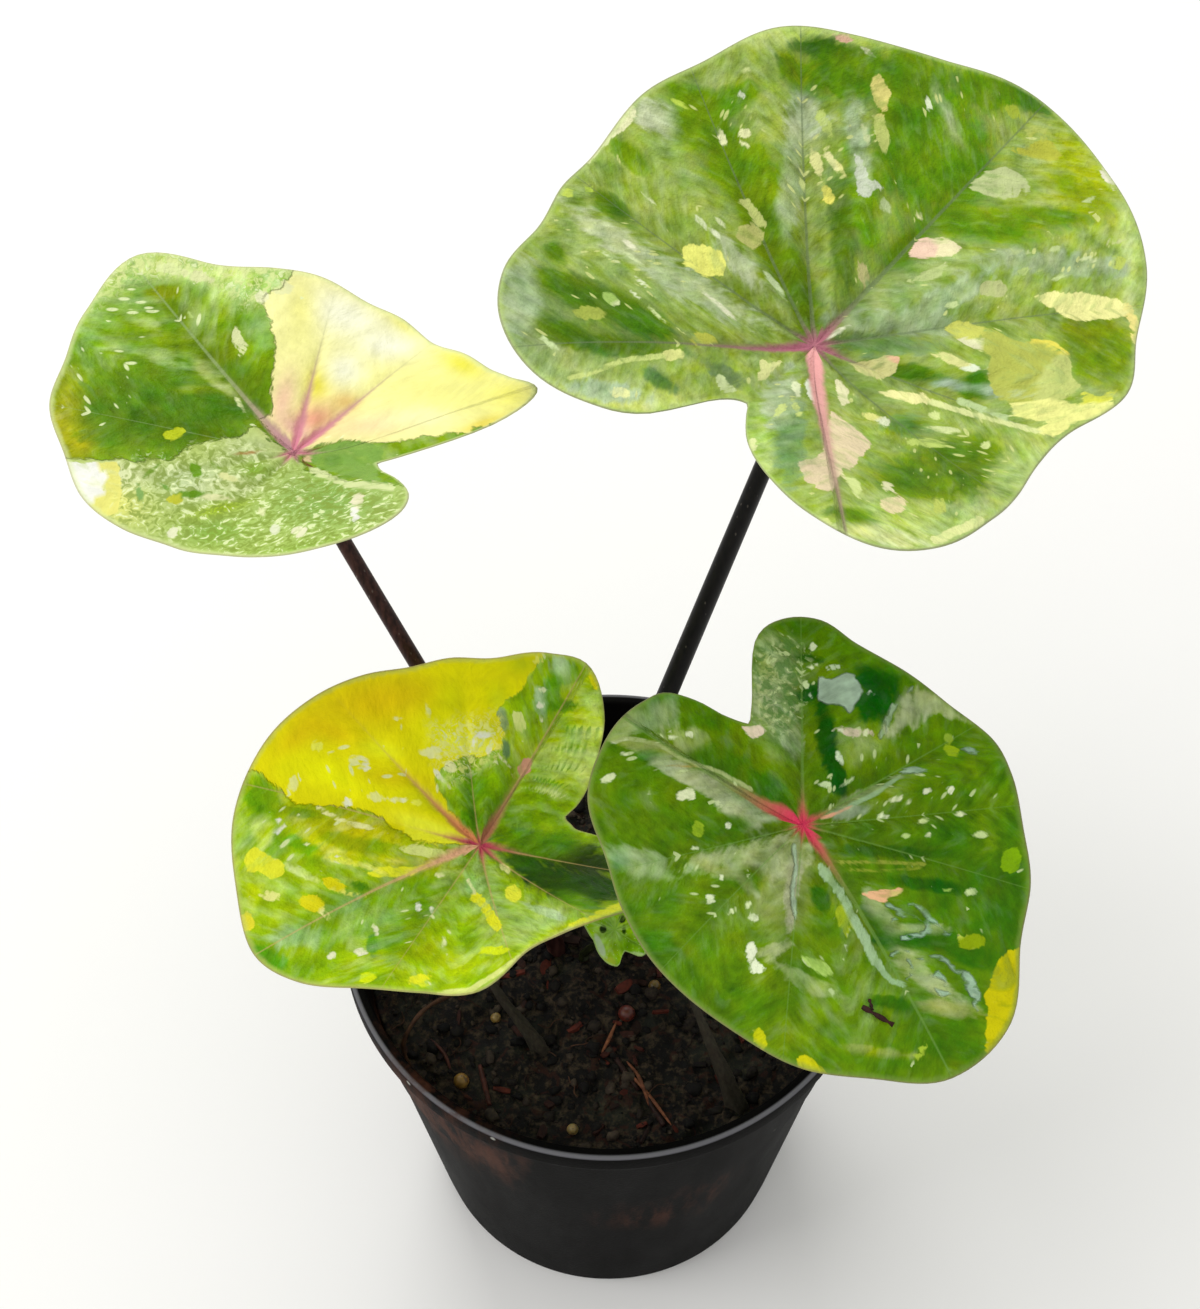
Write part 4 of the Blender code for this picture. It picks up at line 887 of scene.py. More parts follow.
LOOK_4.clouds = marks(
    # Dark water-clear areas
    ("165406", 878, 680, 20, 12, 20), ("175808", 875, 706, 18, 14, -20), ("145006", 826, 735, 9, 36, -6),
    ("165207", 838, 775, 7, 20, -15), ("1e5a0c", 808, 693, 10, 10), ("295a0c", 806, 658, 14, 4, 5),
    ("306610", 820, 898, 8, 16, -15), ("26620c", 905, 940, 34, 5), ("346a08", 960, 950, 40, 12, 20),
    ("396a04", 900, 852, 50, 6, 2), ("2b6208", 930, 885, 40, 7, 8), ("346a10", 890, 1003, 20, 7, 10),
    ("3e720a", 955, 1050, 24, 12), ("497a08", 930, 1030, 30, 16), ("4b7a04", 800, 625, 26, 10),
    ("548804", 870, 655, 30, 9, 22), ("3f7604", 770, 790, 24, 10, 35), ("497604", 720, 760, 30, 14, 20),
    ("397a18", 650, 755, 12, 7), ("3f7a1c", 645, 700, 20, 14, -20), ("497a14", 705, 715, 22, 12, 25),
    ("507a08", 640, 820, 34, 12, 15), ("467608", 700, 830, 20, 10), ("467610", 735, 822, 18, 8),
    ("507c04", 650, 900, 24, 20), ("4c7804", 690, 980, 24, 12, 35), ("467a0c", 660, 950, 26, 14, 35),
    ("497a18", 745, 880, 14, 12), ("366a1c", 880, 925, 10, 20, -30), ("568408", 860, 1058, 40, 8, 8),
    ("3e6e0a", 1010, 900, 12, 50), ("5a8804", 990, 800, 20, 40), ("3d630c", 652, 955, 24, 12, 40),
    ("447010", 618, 890, 14, 30, -20), ("4a7606", 720, 1010, 30, 10, 35),
    # Painted sheen: grey-green clouds where the skin reflects the sky
    ("a2b684", 728, 800, 34, 10, 42), ("9cb27c", 668, 766, 34, 7, 30), ("9aae78", 912, 712, 26, 12, -50),
    ("9fb478", 940, 706, 26, 7, 28), ("8faa68", 775, 660, 16, 20), ("95ac74", 765, 700, 14, 20),
    ("8caa6e", 790, 730, 10, 26, -15), ("88a66c", 770, 650, 24, 5, 20), ("86a864", 640, 862, 44, 11, 12),
    ("78a874", 622, 860, 12, 8), ("96af6c", 760, 856, 44, 12, -5), ("a2b282", 792, 890, 6, 34, 4),
    ("9eb278", 780, 860, 14, 16), ("96ae74", 740, 878, 18, 5, 50), ("8aa668", 860, 795, 36, 5, -25),
    ("8eaa7c", 850, 812, 20, 6, -15), ("8ca870", 745, 800, 30, 8, 32), ("96ac70", 712, 790, 20, 5, 35),
    ("8ba054", 640, 745, 30, 5, 12), ("84a258", 620, 725, 10, 14), ("8aa660", 800, 975, 30, 4, 25),
    ("81a058", 810, 985, 26, 8, 20), ("92ae6f", 880, 915, 8, 26, -30), ("8eac68", 910, 965, 14, 8, 30),
    ("96b070", 935, 985, 26, 8, 25), ("90ad68", 920, 928, 22, 4), ("849c48", 880, 1052, 40, 4, 6),
    ("8ea65c", 720, 870, 30, 5, 20), ("8ea868", 660, 715, 8, 14), ("8a9d52", 955, 1010, 30, 6, 10),
    ("8aa460", 770, 950, 20, 5, -10), ("8eaa5c", 690, 740, 14, 10), ("86a468", 640, 712, 28, 14, -10),
)
LOOK_4.patches = marks(
    ("ccc40c", (1008, 950), (1000, 958), (992, 970), (990, 985), (985, 995), (988, 1010), (986, 1040),
     (982, 1056), (1010, 1050), (1034, 990), (1034, 950)), ("82ae14", 1012, 861, 10, 13),
    ("c9cc20", (751, 1030), (759, 1027), (766, 1035), (768, 1048), (758, 1052)), ("cfcb20", (796, 1058),
     (808, 1054), (818, 1064), (828, 1076), (800, 1072)), ("9fb42c", (834, 908), (846, 902), (849, 915),
     (850, 930), (846, 940), (838, 924)), ("90a81c", 972, 942, 14, 7, -10), ("c8d65c", 962, 940, 8, 3, 50),
    ("aacb66", 817, 965, 17, 6, 35), ("9cb824", 952, 751, 8, 5, 30), ("94b23c", 948, 738, 4, 5),
    ("8fae2c", 698, 830, 6, 8), ("eeb88c", (862, 893), (880, 889), (902, 888), (892, 896), (884, 902),
     (870, 898)), ("dcc87c", 892, 893, 8, 4, -10), ("f3d9c0", (742, 727), (760, 724), (766, 732), (757, 737),
     (752, 740), (746, 733)), ("e6ecc0", (674, 795), (683, 792), (691, 786), (696, 792), (694, 799),
     (682, 801)), ("e0eab8", 608, 779, 9, 4, -25), ("dfe9bc", (615, 741, 5, 2), (623, 754, 4, 2, -10),
     (649, 793, 4, 3), (690, 734, 4, 3), (670, 734, 2, 4, 20), (676, 738, 3, 2)),
    ("e3edc4", (710, 900, 6, 5), (754, 917, 6, 5)), ("d6e4ac", (730, 912, 5, 3, -20), (748, 905, 4, 3, -50)),
    ("e6edcc", 751, 952, 5, 9, 8), ("e3ecc8", 758, 969, 7, 5, -20), ("dfe9c0", 721, 878, 3.5, 3),
    ("d6e4b4", 696, 848, 5, 2.5), ("d2e0a8", 718, 803, 5, 3, 50), ("dfe9c4", 728, 826, 3, 4, 30),
    ("cfe0a4", 749, 876, 2.5, 2.5), ("e6edc0", 897, 799, 7, 3, -25), ("e0eab8", 908, 802, 5, 2.5, -45),
    ("e6edc8", (927, 791, 4, 2.5, -15), (951, 790, 4, 4)), ("d8e8a0", 924, 821, 6, 3, -15),
    ("e0eab8", (928, 835, 4, 3.5), (960, 814, 5, 2.5)), ("dfe9c0", 883, 816, 6, 3, 5),
    ("c9dc98", 982, 834, 7, 3), ("bcd684", 906, 836, 4, 3), ("cfe4a0", 972, 892, 6, 4, 5),
    ("a8d060", 948, 890, 7, 1.5), ("dcebc8", 846, 946, 2.5, 5), ("b8cf90", 832, 993, 4, 3, 50),
    ("dfe9c0", (813, 646, 4, 4), (814, 666, 6, 2.5, -20)), ("cfe0a8", 806, 684, 4, 4),
    ("dfecd4", 810, 695, 3, 3), ("dff0dc", 870, 693, 6, 3, -10), ("c6d8b0", 835, 668, 8, 3),
    ("d9c9b0", 852, 732, 16, 5, 5), ("e9eccf", 841, 730, 8, 2.5, -10), ("dfe8b4", 865, 733, 4, 4),
    ("d6e6c4", 839, 757, 3, 6, -25), ("cde2ac", (826, 785, 6, 3), (846, 783, 7, 2, -35)),
    ("a8c43c", 918, 1053, 4, 12, 40),
    # Pale channel of the midrib, and pale lines of other veins
    ("a3c192", 4.6, (822, 868), (838, 890), (852, 915), (866, 942), (878, 965)), ("97b987", 2.6, (878, 965),
     (890, 980), (905, 985)), ("a9b878", 1.8, (752, 790), (720, 772), (684, 760), (660, 745), (640, 740),
     (620, 738)), ("b09a50", 1.3, (666, 766), (692, 766)), ("8f9c3c", 1.6, (836, 862), (880, 862),
     (925, 864)), ("8b9c34", 1.2, (846, 870), (890, 871), (920, 868)), ("d8a080", 1.6, (822, 818),
     (840, 812), (862, 800)), ("97b488", 2, (850, 806), (878, 792), (900, 776)),
)
LOOK_4.mottled = marks(
    ("4f7c38", (752, 650), (790, 636), (806, 650), (800, 720), (780, 740), (756, 710)),
)
LOOK_4.speckled = marks(
    ("ffffff", (900, 800, 100, 60), (700, 880, 60, 50), (640, 750, 50, 40)),
)
# Water on leaf 4: its pale grey-green colour is a painted reflection of the sky.
LOOK_4.wet = marks(
    ("b0c4b4", (818, 676), (832, 680), (846, 672), (856, 676), (864, 692), (856, 704), (850, 714),
     (840, 704), (826, 704), (818, 700)), ("9cb8a0", 913, 771, 13, 3.5, -4), ("9cbaa8", 970, 750, 8, 3, 20),
    ("9cc0a4", 1.5, (886, 904), (899, 912), (910, 904), (922, 908), (934, 920), (946, 936), (958, 934)),
    ("94ba98", 1.5, (892, 920), (906, 915), (920, 917)), ("9cc0a4", 2.4, (902, 938), (918, 936), (932, 930),
     (926, 922)), ("94b898", 1.6, (890, 962), (894, 950), (908, 952), (912, 972), (906, 984)),
    ("9cbea4", (1.8, (922, 958), (938, 957), (952, 966), (964, 976)), (1.6, (926, 978), (940, 972),
     (946, 982), (934, 988), (944, 996), (956, 990))), ("a0c0a4", (964, 968), (974, 978), (980, 992),
     (980, 1008), (975, 1014), (970, 996), (964, 980)), ("a3bd9c", 2, (794, 846), (796, 870), (792, 892),
     (796, 920)), ("a0b898", (1.6, (885, 735), (890, 715), (900, 697), (912, 688)), (1.4, (880, 738),
     (884, 722), (893, 704))),
)
YOUNG_LOOK = Look(
    ground="86b534", speck="dfe8b0", vein="93bc4c", flush="93bc4c", plain_vein=(4, 0.16),
    gain=(1.3, 1.25, 1.3), pale_gain=1.1, rim="c4da90", seam="9ab858", roughness=0.45,
)
YOUNG_LOOK.tints = marks(
    ("a9cc62", 600, 940, 8, 18), ("6f9c20", 620, 946, 9, 6), ("a3c868", 614, 930, 7, 9),
)
YOUNG_LOOK.patches = marks(
    ("c3d6b4", 600, 946, 3.5, 12, -22), ("c6dca0", 637, 956, 9, 4, 8), ("b3c640", 610, 962, 6, 5),
    # Painted shade: the three near-black spots by the top edge, dark gaps in the young leaf drawn as colour.
    ("18280a", 603, 929, 3.5, 4.5), ("16260a", 622, 919, 3.5, 4), ("26400c", 624, 930, 2, 5),
)


def set_values(mesh, name, values):
    """Stores a number, a vector or a colour at each point of the mesh, for its material to read."""
    values = np.asarray(values, np.float32)
    kind, field = "FLOAT_VECTOR", "vector"
    if values.ndim == 1:
        kind, field = "FLOAT", "value"
    elif name.endswith("colour"):
        kind, field = "FLOAT_COLOR", "color"
        values = np.concatenate((values, np.ones((len(values), 1), np.float32)), axis=1)
    mesh.attributes.new(name, kind, "POINT").data.foreach_set(field, values.ravel())


def markings(blade, look, points):
    """What the material has to know at each point: where it lies among the veins and the marks."""
    leaf = blade.leaf
    face = 1 + blade.x.size
    count = len(blade.direction)
    across, down = photo_place(points[:face])
    scale = pixels_per_mm(leaf.joint)

    def on_face(values, at_joint=0.0):
        """One value for each point of the face, from one for each spoke, ring or crossing."""
        return np.concatenate(([at_joint], np.broadcast_to(values, blade.x.shape).ravel()))

    def as_lit(colour, gain):
        """The tissue's colour, from what the photograph shows under its light with the sky's sheen. Its
        gains hold
        painted light too: a leaf that this scene lights less, as leaf 3, gets higher ones.
        """
        return np.clip(np.asarray(colour) * np.array(gain) - look.sheen, 0.001, 0.9)

    reach = on_face(blade.reach)
    flushed = [look.flushed.get(round(vein), look.plain_vein) for vein in blade.vein]
    faded, wide = np.array([found[:2] for found in flushed]).T
    width = on_face(wide) * (0.25 + 0.75 * (1 - reach) ** 1.5)
    fade = 0.5 ** (on_face(blade.radius) / MM / on_face(faded, 1.0)) ** 2
    flushes = np.array([linear((*found, look.flush)[2])[:3] for found in flushed]).T
    near = np.stack([on_face(channel, channel.mean()) for channel in flushes], axis=1)
    far = np.array(linear(look.vein)[:3])
    ground = tinted(linear(look.ground)[:3], look.tints, across, down)
    cover, cloud_and_sheen_colour = clouded(look.clouds, across, down)
    cover -= 0.8 * np.clip(1 - cover / 0.3, 0, 1)  # no stray bits far from a cloud
    across_veins = on_face(blade.ridges * leaf.ridge)
    along_veins = on_face(blade.vein_off) / MM
    # Painted shade: the ground and the clouds are darkened in the hollows beside the main veins, most near
    # the joint.
    valley_shade = 0.5 ** ((along_veins / (4 * blade.size)) ** 2) * (1 - reach) ** 0.5
    shade = (1 - 0.3 * valley_shade)[:, None]
    values = {
        "place": np.stack((on_face(blade.x) / MM, on_face(blade.y) / MM, np.zeros(face)), axis=1),
        "grain": np.stack((across_veins, along_veins * 0.5, on_face(blade.direction * 8)), axis=1),
        "vein": along_veins - width / 2,
        "flush": fade,
        "vein_colour": as_lit(far + (near - far) * fade[:, None], look.pale_gain),
        "rim": on_face(blade.rim_off, blade.margin.min()) / MM,
        "ridges": on_face(blade.ridges),
        "ground_colour": as_lit(ground, look.gain) * shade,
        "cover": cover,
        "cloud_and_sheen_colour": as_lit(cloud_and_sheen_colour, look.gain) * shade,
    }
    for name, patches, tints, gain in (
        ("zone", look.zones, look.zone_tints, look.pale_gain), ("patch", look.patches, (), look.pale_gain),
        ("mottle", look.mottled, (), look.gain), ("wet", look.wet, (), look.pale_gain),
    ):
        away, colour, half = nearest_patch(patches, across, down)
        values[name] = away / scale
        values[name + "_colour"] = as_lit(tinted(colour, tints, across, down), gain)
        if name == "patch":
            values["patch_size"] = half / scale
            values["specks"] = 0.45 * np.clip(1 - away / 12, 0, 1)
    for area in look.speckled:
        inside = np.clip(-area.distance(across, down) / 20, 0, 1)
        values["specks"] = np.maximum(values["specks"], inside)
    stored = {name: np.concatenate((found, found, found[face - count :])) for name, found in values.items()}
    stored["under"] = np.concatenate((np.zeros(face), np.ones(face), np.full(count, 0.3)))
    return stored


# How much each texture lightens and darkens the green
TONE = {"fibre": 0.4, "streak": 0.85, "coarse": 0.95, "cloud": 0.8}
TONE_LIFT = sum(TONE.values()) / 2  # a texture's mean is a half
# Textures of the tissue: in the leaf's own plane or along its side veins, mm between features, and detail
TISSUE = {
    "coarse": ("place", 4.5, 3),
    "fine": ("place", 1.1, 3),
    "cloud": ("place", 8.0, 4),
    "streak": ("grain", 3.0, 4),
    "fibre": ("grain", 1.1, 2),
}
BLOTS = 2.3  # mm from one blot of the mottling to the next
SPECKS = 1.7  # mm from speck to speck
VEIN_NET = 1.1  # mm across a mesh of the net of the finest veins


def with_noises(add, noises, value, gains):
    """The value with these shares of the noises on top."""
    for name, gain in gains.items():
        value = add("Math", noises[name], gain, value, **TIMES_PLUS)
    return value


def edge_masks(add, at, ragged, size):
    """Masks, where a stored distance is below 0."""
    masks = {}
    # Share of the raggedness, mm of softness, and mm that it grows
    for name, (share, soft, grown) in {
        "zone": (0.7, 0.35, 0), "mottle": (1.2, 2.5, 0), "wet": (0.3, 0.3, 0), "vein": (0, 0.2 * size, 0),
        "rim": (0.3, 0.7 * size, 0.9 * size),
    }.items():
        edge = add("Math", ragged, share, at[name], **TIMES_PLUS)
        masks[name] = add("MapRange", edge, soft + grown, grown - soft, **SMOOTH)
    return masks


def green_tissue(add, at, noises, tone):
    """Green, with streaky clouds of deep green and of grey-green, the grey-green being a painted sheen."""
    cover = with_noises(add, noises, at["cover"], {"streak": 1.2, "coarse": 0.8, "cloud": 0.5})
    covered = add("MapRange", cover, 1.46, 2.0, 0, 0.94, **SMOOTH)
    colour = add("Mix", covered, at["ground_colour"], at["cloud_and_sheen_colour"], **RGBA)
    hue = add("Math", noises["cloud"], -0.1, 0.55, **TIMES_PLUS)
    rich = add("Math", noises["streak"], -0.9, 1.5, **TIMES_PLUS)
    return add("HueSaturation", hue, rich, tone, Color=colour)


def mottling(add, at, mask):
    """Where blots of the fine mottling lie, which merge, and the pale flecks between them."""
    blots = add("TexNoise", Vector=at["place"], Scale=1 / BLOTS, Detail=3, Distortion=1.1)
    found = []
    for bare, full in ((0.46, 0.6), (0.44, 0.34)):
        spot = add("MapRange", blots, bare, full, 0, 0.75, **SMOOTH)
        found.append(add("Math", spot, mask, **TIMES))
    return found


def specks(add, at, size):
    """Where specks lie, drawn out along the side veins: some cells have one, of a size of its own."""
    cells = add("TexVoronoi", out=None, Vector=at["grain"], Scale=1 / (SPECKS * size))
    chance = add("SeparateColor", cells.outputs["Color"], out=None)
    beyond = add("Math", chance.outputs[0], -0.42, cells.outputs["Distance"], **TIMES_PLUS)
    speck = add("MapRange", beyond, 0.08, -0.12, 0, 0.75, **SMOOTH)
    chosen = add("Math", at["specks"], 0.42, **TIMES)
    chosen = add("Math", chance.outputs[1], chosen, operation="LESS_THAN")
    return add("Math", speck, chosen, **TIMES)


def crisp_marks(add, at, noises, ragged):
    """Where crisp marks lie, with some green showing through. A small one has a smoother edge."""
    share = add("Math", at["patch_size"], 0.45, **TIMES)
    share = add("Math", share, 0.5, operation="MINIMUM")
    edge = add("Math", ragged, share, at["patch"], **TIMES_PLUS)
    patch = add("MapRange", edge, 0.25, -0.25, **SMOOTH)
    solid = add("MapRange", noises["streak"], 0.48, 0.64, 0.96, 0.5)
    return add("Math", patch, solid, **TIMES)


def soft_flush(add, at, ragged, size):
    """A wide, soft flush beside the main veins, near the joint."""
    beside = add("Math", ragged, 0.35, at["vein"], **TIMES_PLUS)
    beside = add("Math", at["flush"], -0.9 * size, beside, **TIMES_PLUS)
    beside = add("MapRange", beside, 0.8 * size, -0.8 * size, **SMOOTH)
    return add("Math", beside, at["flush"], **TIMES)


def leaf_skin(add, at, noises, relief, size):
    """Streaks pressed in along the side veins, and the net of the finest veins."""
    net = add("TexVoronoi", feature="DISTANCE_TO_EDGE", Vector=at["place"], Scale=1 / (VEIN_NET * size))
    net = add("Math", net, 0.25, operation="MINIMUM")
    height = add("Math", net, 0.3, **TIMES)
    height = with_noises(add, noises, height, {"coarse": 2.2, "streak": 1.3, "fibre": 0.25, "fine": 0.35})
    height = add("Math", height, relief, **TIMES)
    return add("Bump", Strength=0.8, Distance=0.6 * MM * size, Height=height)


def leaf_blade_material(leaf, look, stored):
    """Living caladium leaf: a thin waxy skin over soft green tissue, so it is satin, with crisp white, cream
    or yellow areas where the tissue has no green, sunken main veins and fine slanting side veins."""
    made, add = new_material(leaf.name + "_leaf_tissue", Specular_IOR_Level=0.08, Coat_Roughness=0.1)
    size = leaf.span / SPAN
    at = {}
    for name in stored:
        output = "Vector" if name in ("place", "grain") else "Color" if name.endswith("colour") else "Fac"
        at[name] = add("Attribute", out=output, attribute_name=name)
    noises = {}
    for name, (space, unit, detail) in TISSUE.items():
        noises[name] = add("TexNoise", Vector=at[space], Scale=1 / unit, Detail=detail)
    # How far an edge wanders in mm, in fingers along the side veins
    ragged = with_noises(add, noises, -3.35 * size, {"fibre": 2.2 * size, "streak": 4.5 * size})
    masks = edge_masks(add, at, ragged, size)
    # Tone: soft clouds and streaks, with painted shade that darkens the grooves between the side veins.
    # Areas without green keep it calm.
    wandering = add("Math", noises["coarse"], 0.5, at["ridges"], **TIMES_PLUS)
    trough_shade = add("Math", wandering, 0.5, operation="PINGPONG")
    tone = with_noises(add, noises, add("Math", trough_shade, 0.25, 0.94 - TONE_LIFT, **TIMES_PLUS), TONE)
    calm = add("Math", tone, 0.28, 0.72, **TIMES_PLUS)
    colour = green_tissue(add, at, noises, tone)
    blots, flecks = mottling(add, at, masks["mottle"])
    layers = [
        # Main veins, faint far from the joint
        (add("Math", masks["vein"], 0.6, **TIMES), at["vein_colour"]),
        (masks["zone"], add("HueSaturation", Value=calm, Color=at["zone_colour"])),
        (blots, at["mottle_colour"]),
        (flecks, look.speck),
        (specks(add, at, size), look.speck),
        (crisp_marks(add, at, noises, ragged), add("HueSaturation", Value=calm, Color=at["patch_colour"])),
        (soft_flush(add, at, ragged, size), at["vein_colour"]),
        (add("Math", masks["vein"], at["flush"], **TIMES), at["vein_colour"]),
        # Pale margin with a darker seam at its very edge
        (add("Math", masks["rim"], 0.55, **TIMES), look.rim),
        (add("MapRange", at["rim"], 0.3 * size, 0.1 * size, 0, 0.5), look.seam),
        # Paler underside
        (add("Math", at["under"], 0.5, **TIMES), "8fa878"),
    ]
    rough = add("MapRange", noises["fine"], 0.2, 0.8, look.roughness - 0.08, look.roughness + 0.08)
    relief = add("Math", masks["zone"], -0.5, 1.0, **TIMES_PLUS)
    if look.wet:
        # Films of water, which mirror the sky through the coat and level out the skin; their pale grey
        # colour is a painted reflection of the sky.
        film_and_painted_reflection = add("Math", masks["wet"], 0.8, **TIMES)
        layers.append((film_and_painted_reflection, add("HueSaturation", Value=tone, Color=at["wet_colour"])))
        rough = add("Math", masks["wet"], -0.3, rough, **TIMES_PLUS)
        relief = add("Math", masks["wet"], -0.7, relief, **TIMES_PLUS)
        connect(made, Coat_Weight=film_and_painted_reflection)
    for amount, tint in layers:
        colour = add("Mix", amount, colour, tint, **RGBA)
    # The underside is duller.
    rough = add("Math", at["under"], 0.2, rough, **TIMES_PLUS)
    skin = leaf_skin(add, at, noises, relief, size)
    return connect(made, Base_Color=colour, Roughness=rough, Normal=skin)


def make_blade(leaf, look):
    blade = Blade(leaf)
    points, faces = blade_mesh(blade)
    stored = markings(blade, look, points)
    finish = leaf_blade_material(leaf, look, stored)
    made = mesh_piece(leaf.name + "_fine_blade", points, faces, finish)
    for name, values in stored.items():
        set_values(made.data, name, values)
    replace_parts(made, leaf.name + "_blade")


# Tubes, for stalks and roots


def bezier(start, start_pull, end_pull, end, count):
    points = []
    for index in range(count):
        t = index / (count - 1)
        s = 1 - t
        points.append(start * s**3 + start_pull * (3 * s * s * t) + end_pull * (3 * s * t * t) + end * t**3)
    return points


def smooth_path(stations, steps):
    """A Catmull-Rom curve through the stations, with this many steps between two of them."""
    padded = [stations[0] * 2 - stations[1], *stations, stations[-1] * 2 - stations[-2]]
    points = []
    for index in range(1, len(padded) - 2):
        a, b, c, d = padded[index - 1 : index + 3]
        for step in range(steps):
            t = step / steps
            bent = (a * 2 - b * 5 + c * 4 - d) * t**2 + (b * 3 - a - c * 3 + d) * t**3
            points.append((b * 2 + (c - a) * t + bent) / 2)
    points.append(stations[-1].copy())
    return points


def tube_faces(rings, sides, start=0):
    """Faces of a closed tube whose points begin at start."""
    faces = [tuple(start + side for side in reversed(range(sides)))]
    for ring in range(rings - 1):
        for side in range(sides):
            after = (side + 1) % sides
            low = start + ring * sides
            faces.append((low + side, low + after, low + sides + after, low + sides + side))
    top = start + (rings - 1) * sides
    faces.append(tuple(range(top, top + sides)))
    return faces


def tube(path, radii, sides, swell=None):
    """Points and faces of a tube round a path. swell(share, turn) is a factor on the radius, for one that
    isn't round."""
    points = []
    across = None
    last = len(path) - 1
    for index, centre in enumerate(path):
        along = (path[min(index + 1, last)] - path[max(index - 1, 0)]).normalized()
        if across is None:
            across = along.orthogonal()
        across = (across - along * across.dot(along)).normalized()
        other = along.cross(across)
        for side in range(sides):
            turn = 2 * pi * side / sides
            radius = radii[index] * (swell(index / last, turn) if swell else 1)
            points.append(centre + (across * cos(turn) + other * sin(turn)) * radius)
    return points, tube_faces(len(path), sides)


class Heap:
    """Many small solids joined in one mesh, with a colour number for each, from 0 to 1."""

    def __init__(self):
        self.points = []
        self.faces = []
        self.shade = []

    def add(self, points, faces, shade):
        start = len(self.points)
        self.points += points
        self.faces += [tuple(start + corner_index for corner_index in face) for face in faces]
        self.shade += [shade] * len(points)

    def piece(self, name, finish):
        made = mesh_piece(name, self.points, self.faces, finish)
        set_values(made.data, "shade", np.array(self.shade))
        return made


def stalk_material(name, dark, light, roughness):
    """Leaf stalk: a smooth skin over juicy tissue, with fine lengthwise streaks and small pale flecks."""
    made, add = new_material(name, Specular_IOR_Level=0.15)
    where = add("TexCoord", out="Object")
    # Streaks 1.1 mm wide and 17 mm long, flecks 2 mm wide and 6 mm long
    stretched = add("Mapping", Vector=where, Scale=(0.9 / MM, 0.9 / MM, 0.06 / MM))
    streaks = add("TexNoise", Vector=stretched, Scale=1, Detail=3)
    fleck_place = add("Mapping", Vector=where, Scale=(0.5 / MM, 0.5 / MM, 0.16 / MM))
    flecks = add("TexVoronoi", Vector=fleck_place, Scale=1)
    blend = add("MapRange", streaks, 0.35, 0.75)
    colour = add("Mix", blend, dark, light, **RGBA)
    fleck = add("MapRange", flecks, 0.14, 0.06, 0, 0.25)
    spotted = add("Mix", fleck, colour, "8a8078", **RGBA)
    rough = add("MapRange", streaks, To_Min=roughness - 0.1, To_Max=roughness + 0.15)
    bump = add("Bump", Strength=0.3, Distance=0.2 * MM, Height=streaks)
    return connect(made, Base_Color=spotted, Roughness=rough, Normal=bump)


STALK_SIDES = 28
STALK_UPRIGHT = 4  # mm over the soil where it starts to bend
STALK_SUNK = 9  # mm that it goes down into the soil
SHEATH = 0.16  # how much wider the stalk is at its foot, as a share
FLARE = 0.22  # and under the blade


def stalk_path(leaf):
    """The stalk's line from below the soil to the joint."""
    foot = Vector((leaf.foot[0] * MM, leaf.foot[1] * MM, SOIL_TOP))
    turn = atan2(leaf.joint.y - foot.y, leaf.joint.x - foot.x)
    lean = radians(leaf.lean)
    rise = Vector((sin(lean) * cos(turn), sin(lean) * sin(turn), cos(lean)))
    start = foot + rise * STALK_UPRIGHT * MM
    _, _, up = leaf_frame(leaf)
    rib = RIB * leaf.span / SPAN
    seat = leaf.joint - up * (BLADE + 0.6 * rib)
    length = (seat - start).length
    straight = (seat - start).normalized()
    leave = (rise + straight).normalized()
    arrive = (straight + up * 0.06).normalized()
    curve = bezier(start, start + leave * 0.07 * length, seat - arrive * 0.4 * length, seat, 48)
    return [foot - rise * STALK_SUNK * MM, foot - rise * STALK_UPRIGHT / 2 * MM, *curve]


def below_skin(leaf, point):
    """The point, or where it would pierce the blade's upper face, the place under it inside the blade."""
    along, left, up = leaf_frame(leaf)
    offset = point - leaf.joint
    skin = float(bend(leaf, offset.dot(along), offset.dot(left)))
    inside = skin - 0.55 * BLADE - 0.45 * RIB * leaf.span / SPAN
    return point - up * max(0, offset.dot(up) - inside)


def make_stalk(leaf, finish):
    """A stalk that widens into a grooved sheath at its foot, and flares a little under the blade."""
    path = stalk_path(leaf)
    foot, top = (radius * MM for radius in leaf.radii)
    radii = []
    for index in range(len(path)):
        share = index / (len(path) - 1)
        radii.append((foot + (top - foot) * share) * (1 + SHEATH * (1 - share) ** 8 + FLARE * share**30))

    def swell(share, turn):
        flat = 0.06 * cos(2 * turn)
        groove = -0.05 * max(0, cos(turn)) ** 12 * (1 - share)
        return 1 + flat + groove

    points, faces = tube(path, radii, STALK_SIDES, swell)
    points = [below_skin(leaf, point) for point in points]
    made = mesh_piece(leaf.name + "_fine_stalk", points, faces, finish)
    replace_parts(made, leaf.name + "_stalk")


# Withered stubs: line, and radii of foot and top

STUBS = {
    "old_stalk_left": (((-20, -32, 118), (-26, -28, 127), (-32, -24, 138), (-36, -22, 149)), (2.3, 0.9)),
    "old_stalk_right": (((35, -50, 118), (30, -44.5, 131), (25, -39, 144), (21.5, -35, 155)), (3.0, 0.9)),
}
STUB_SIDES = 20


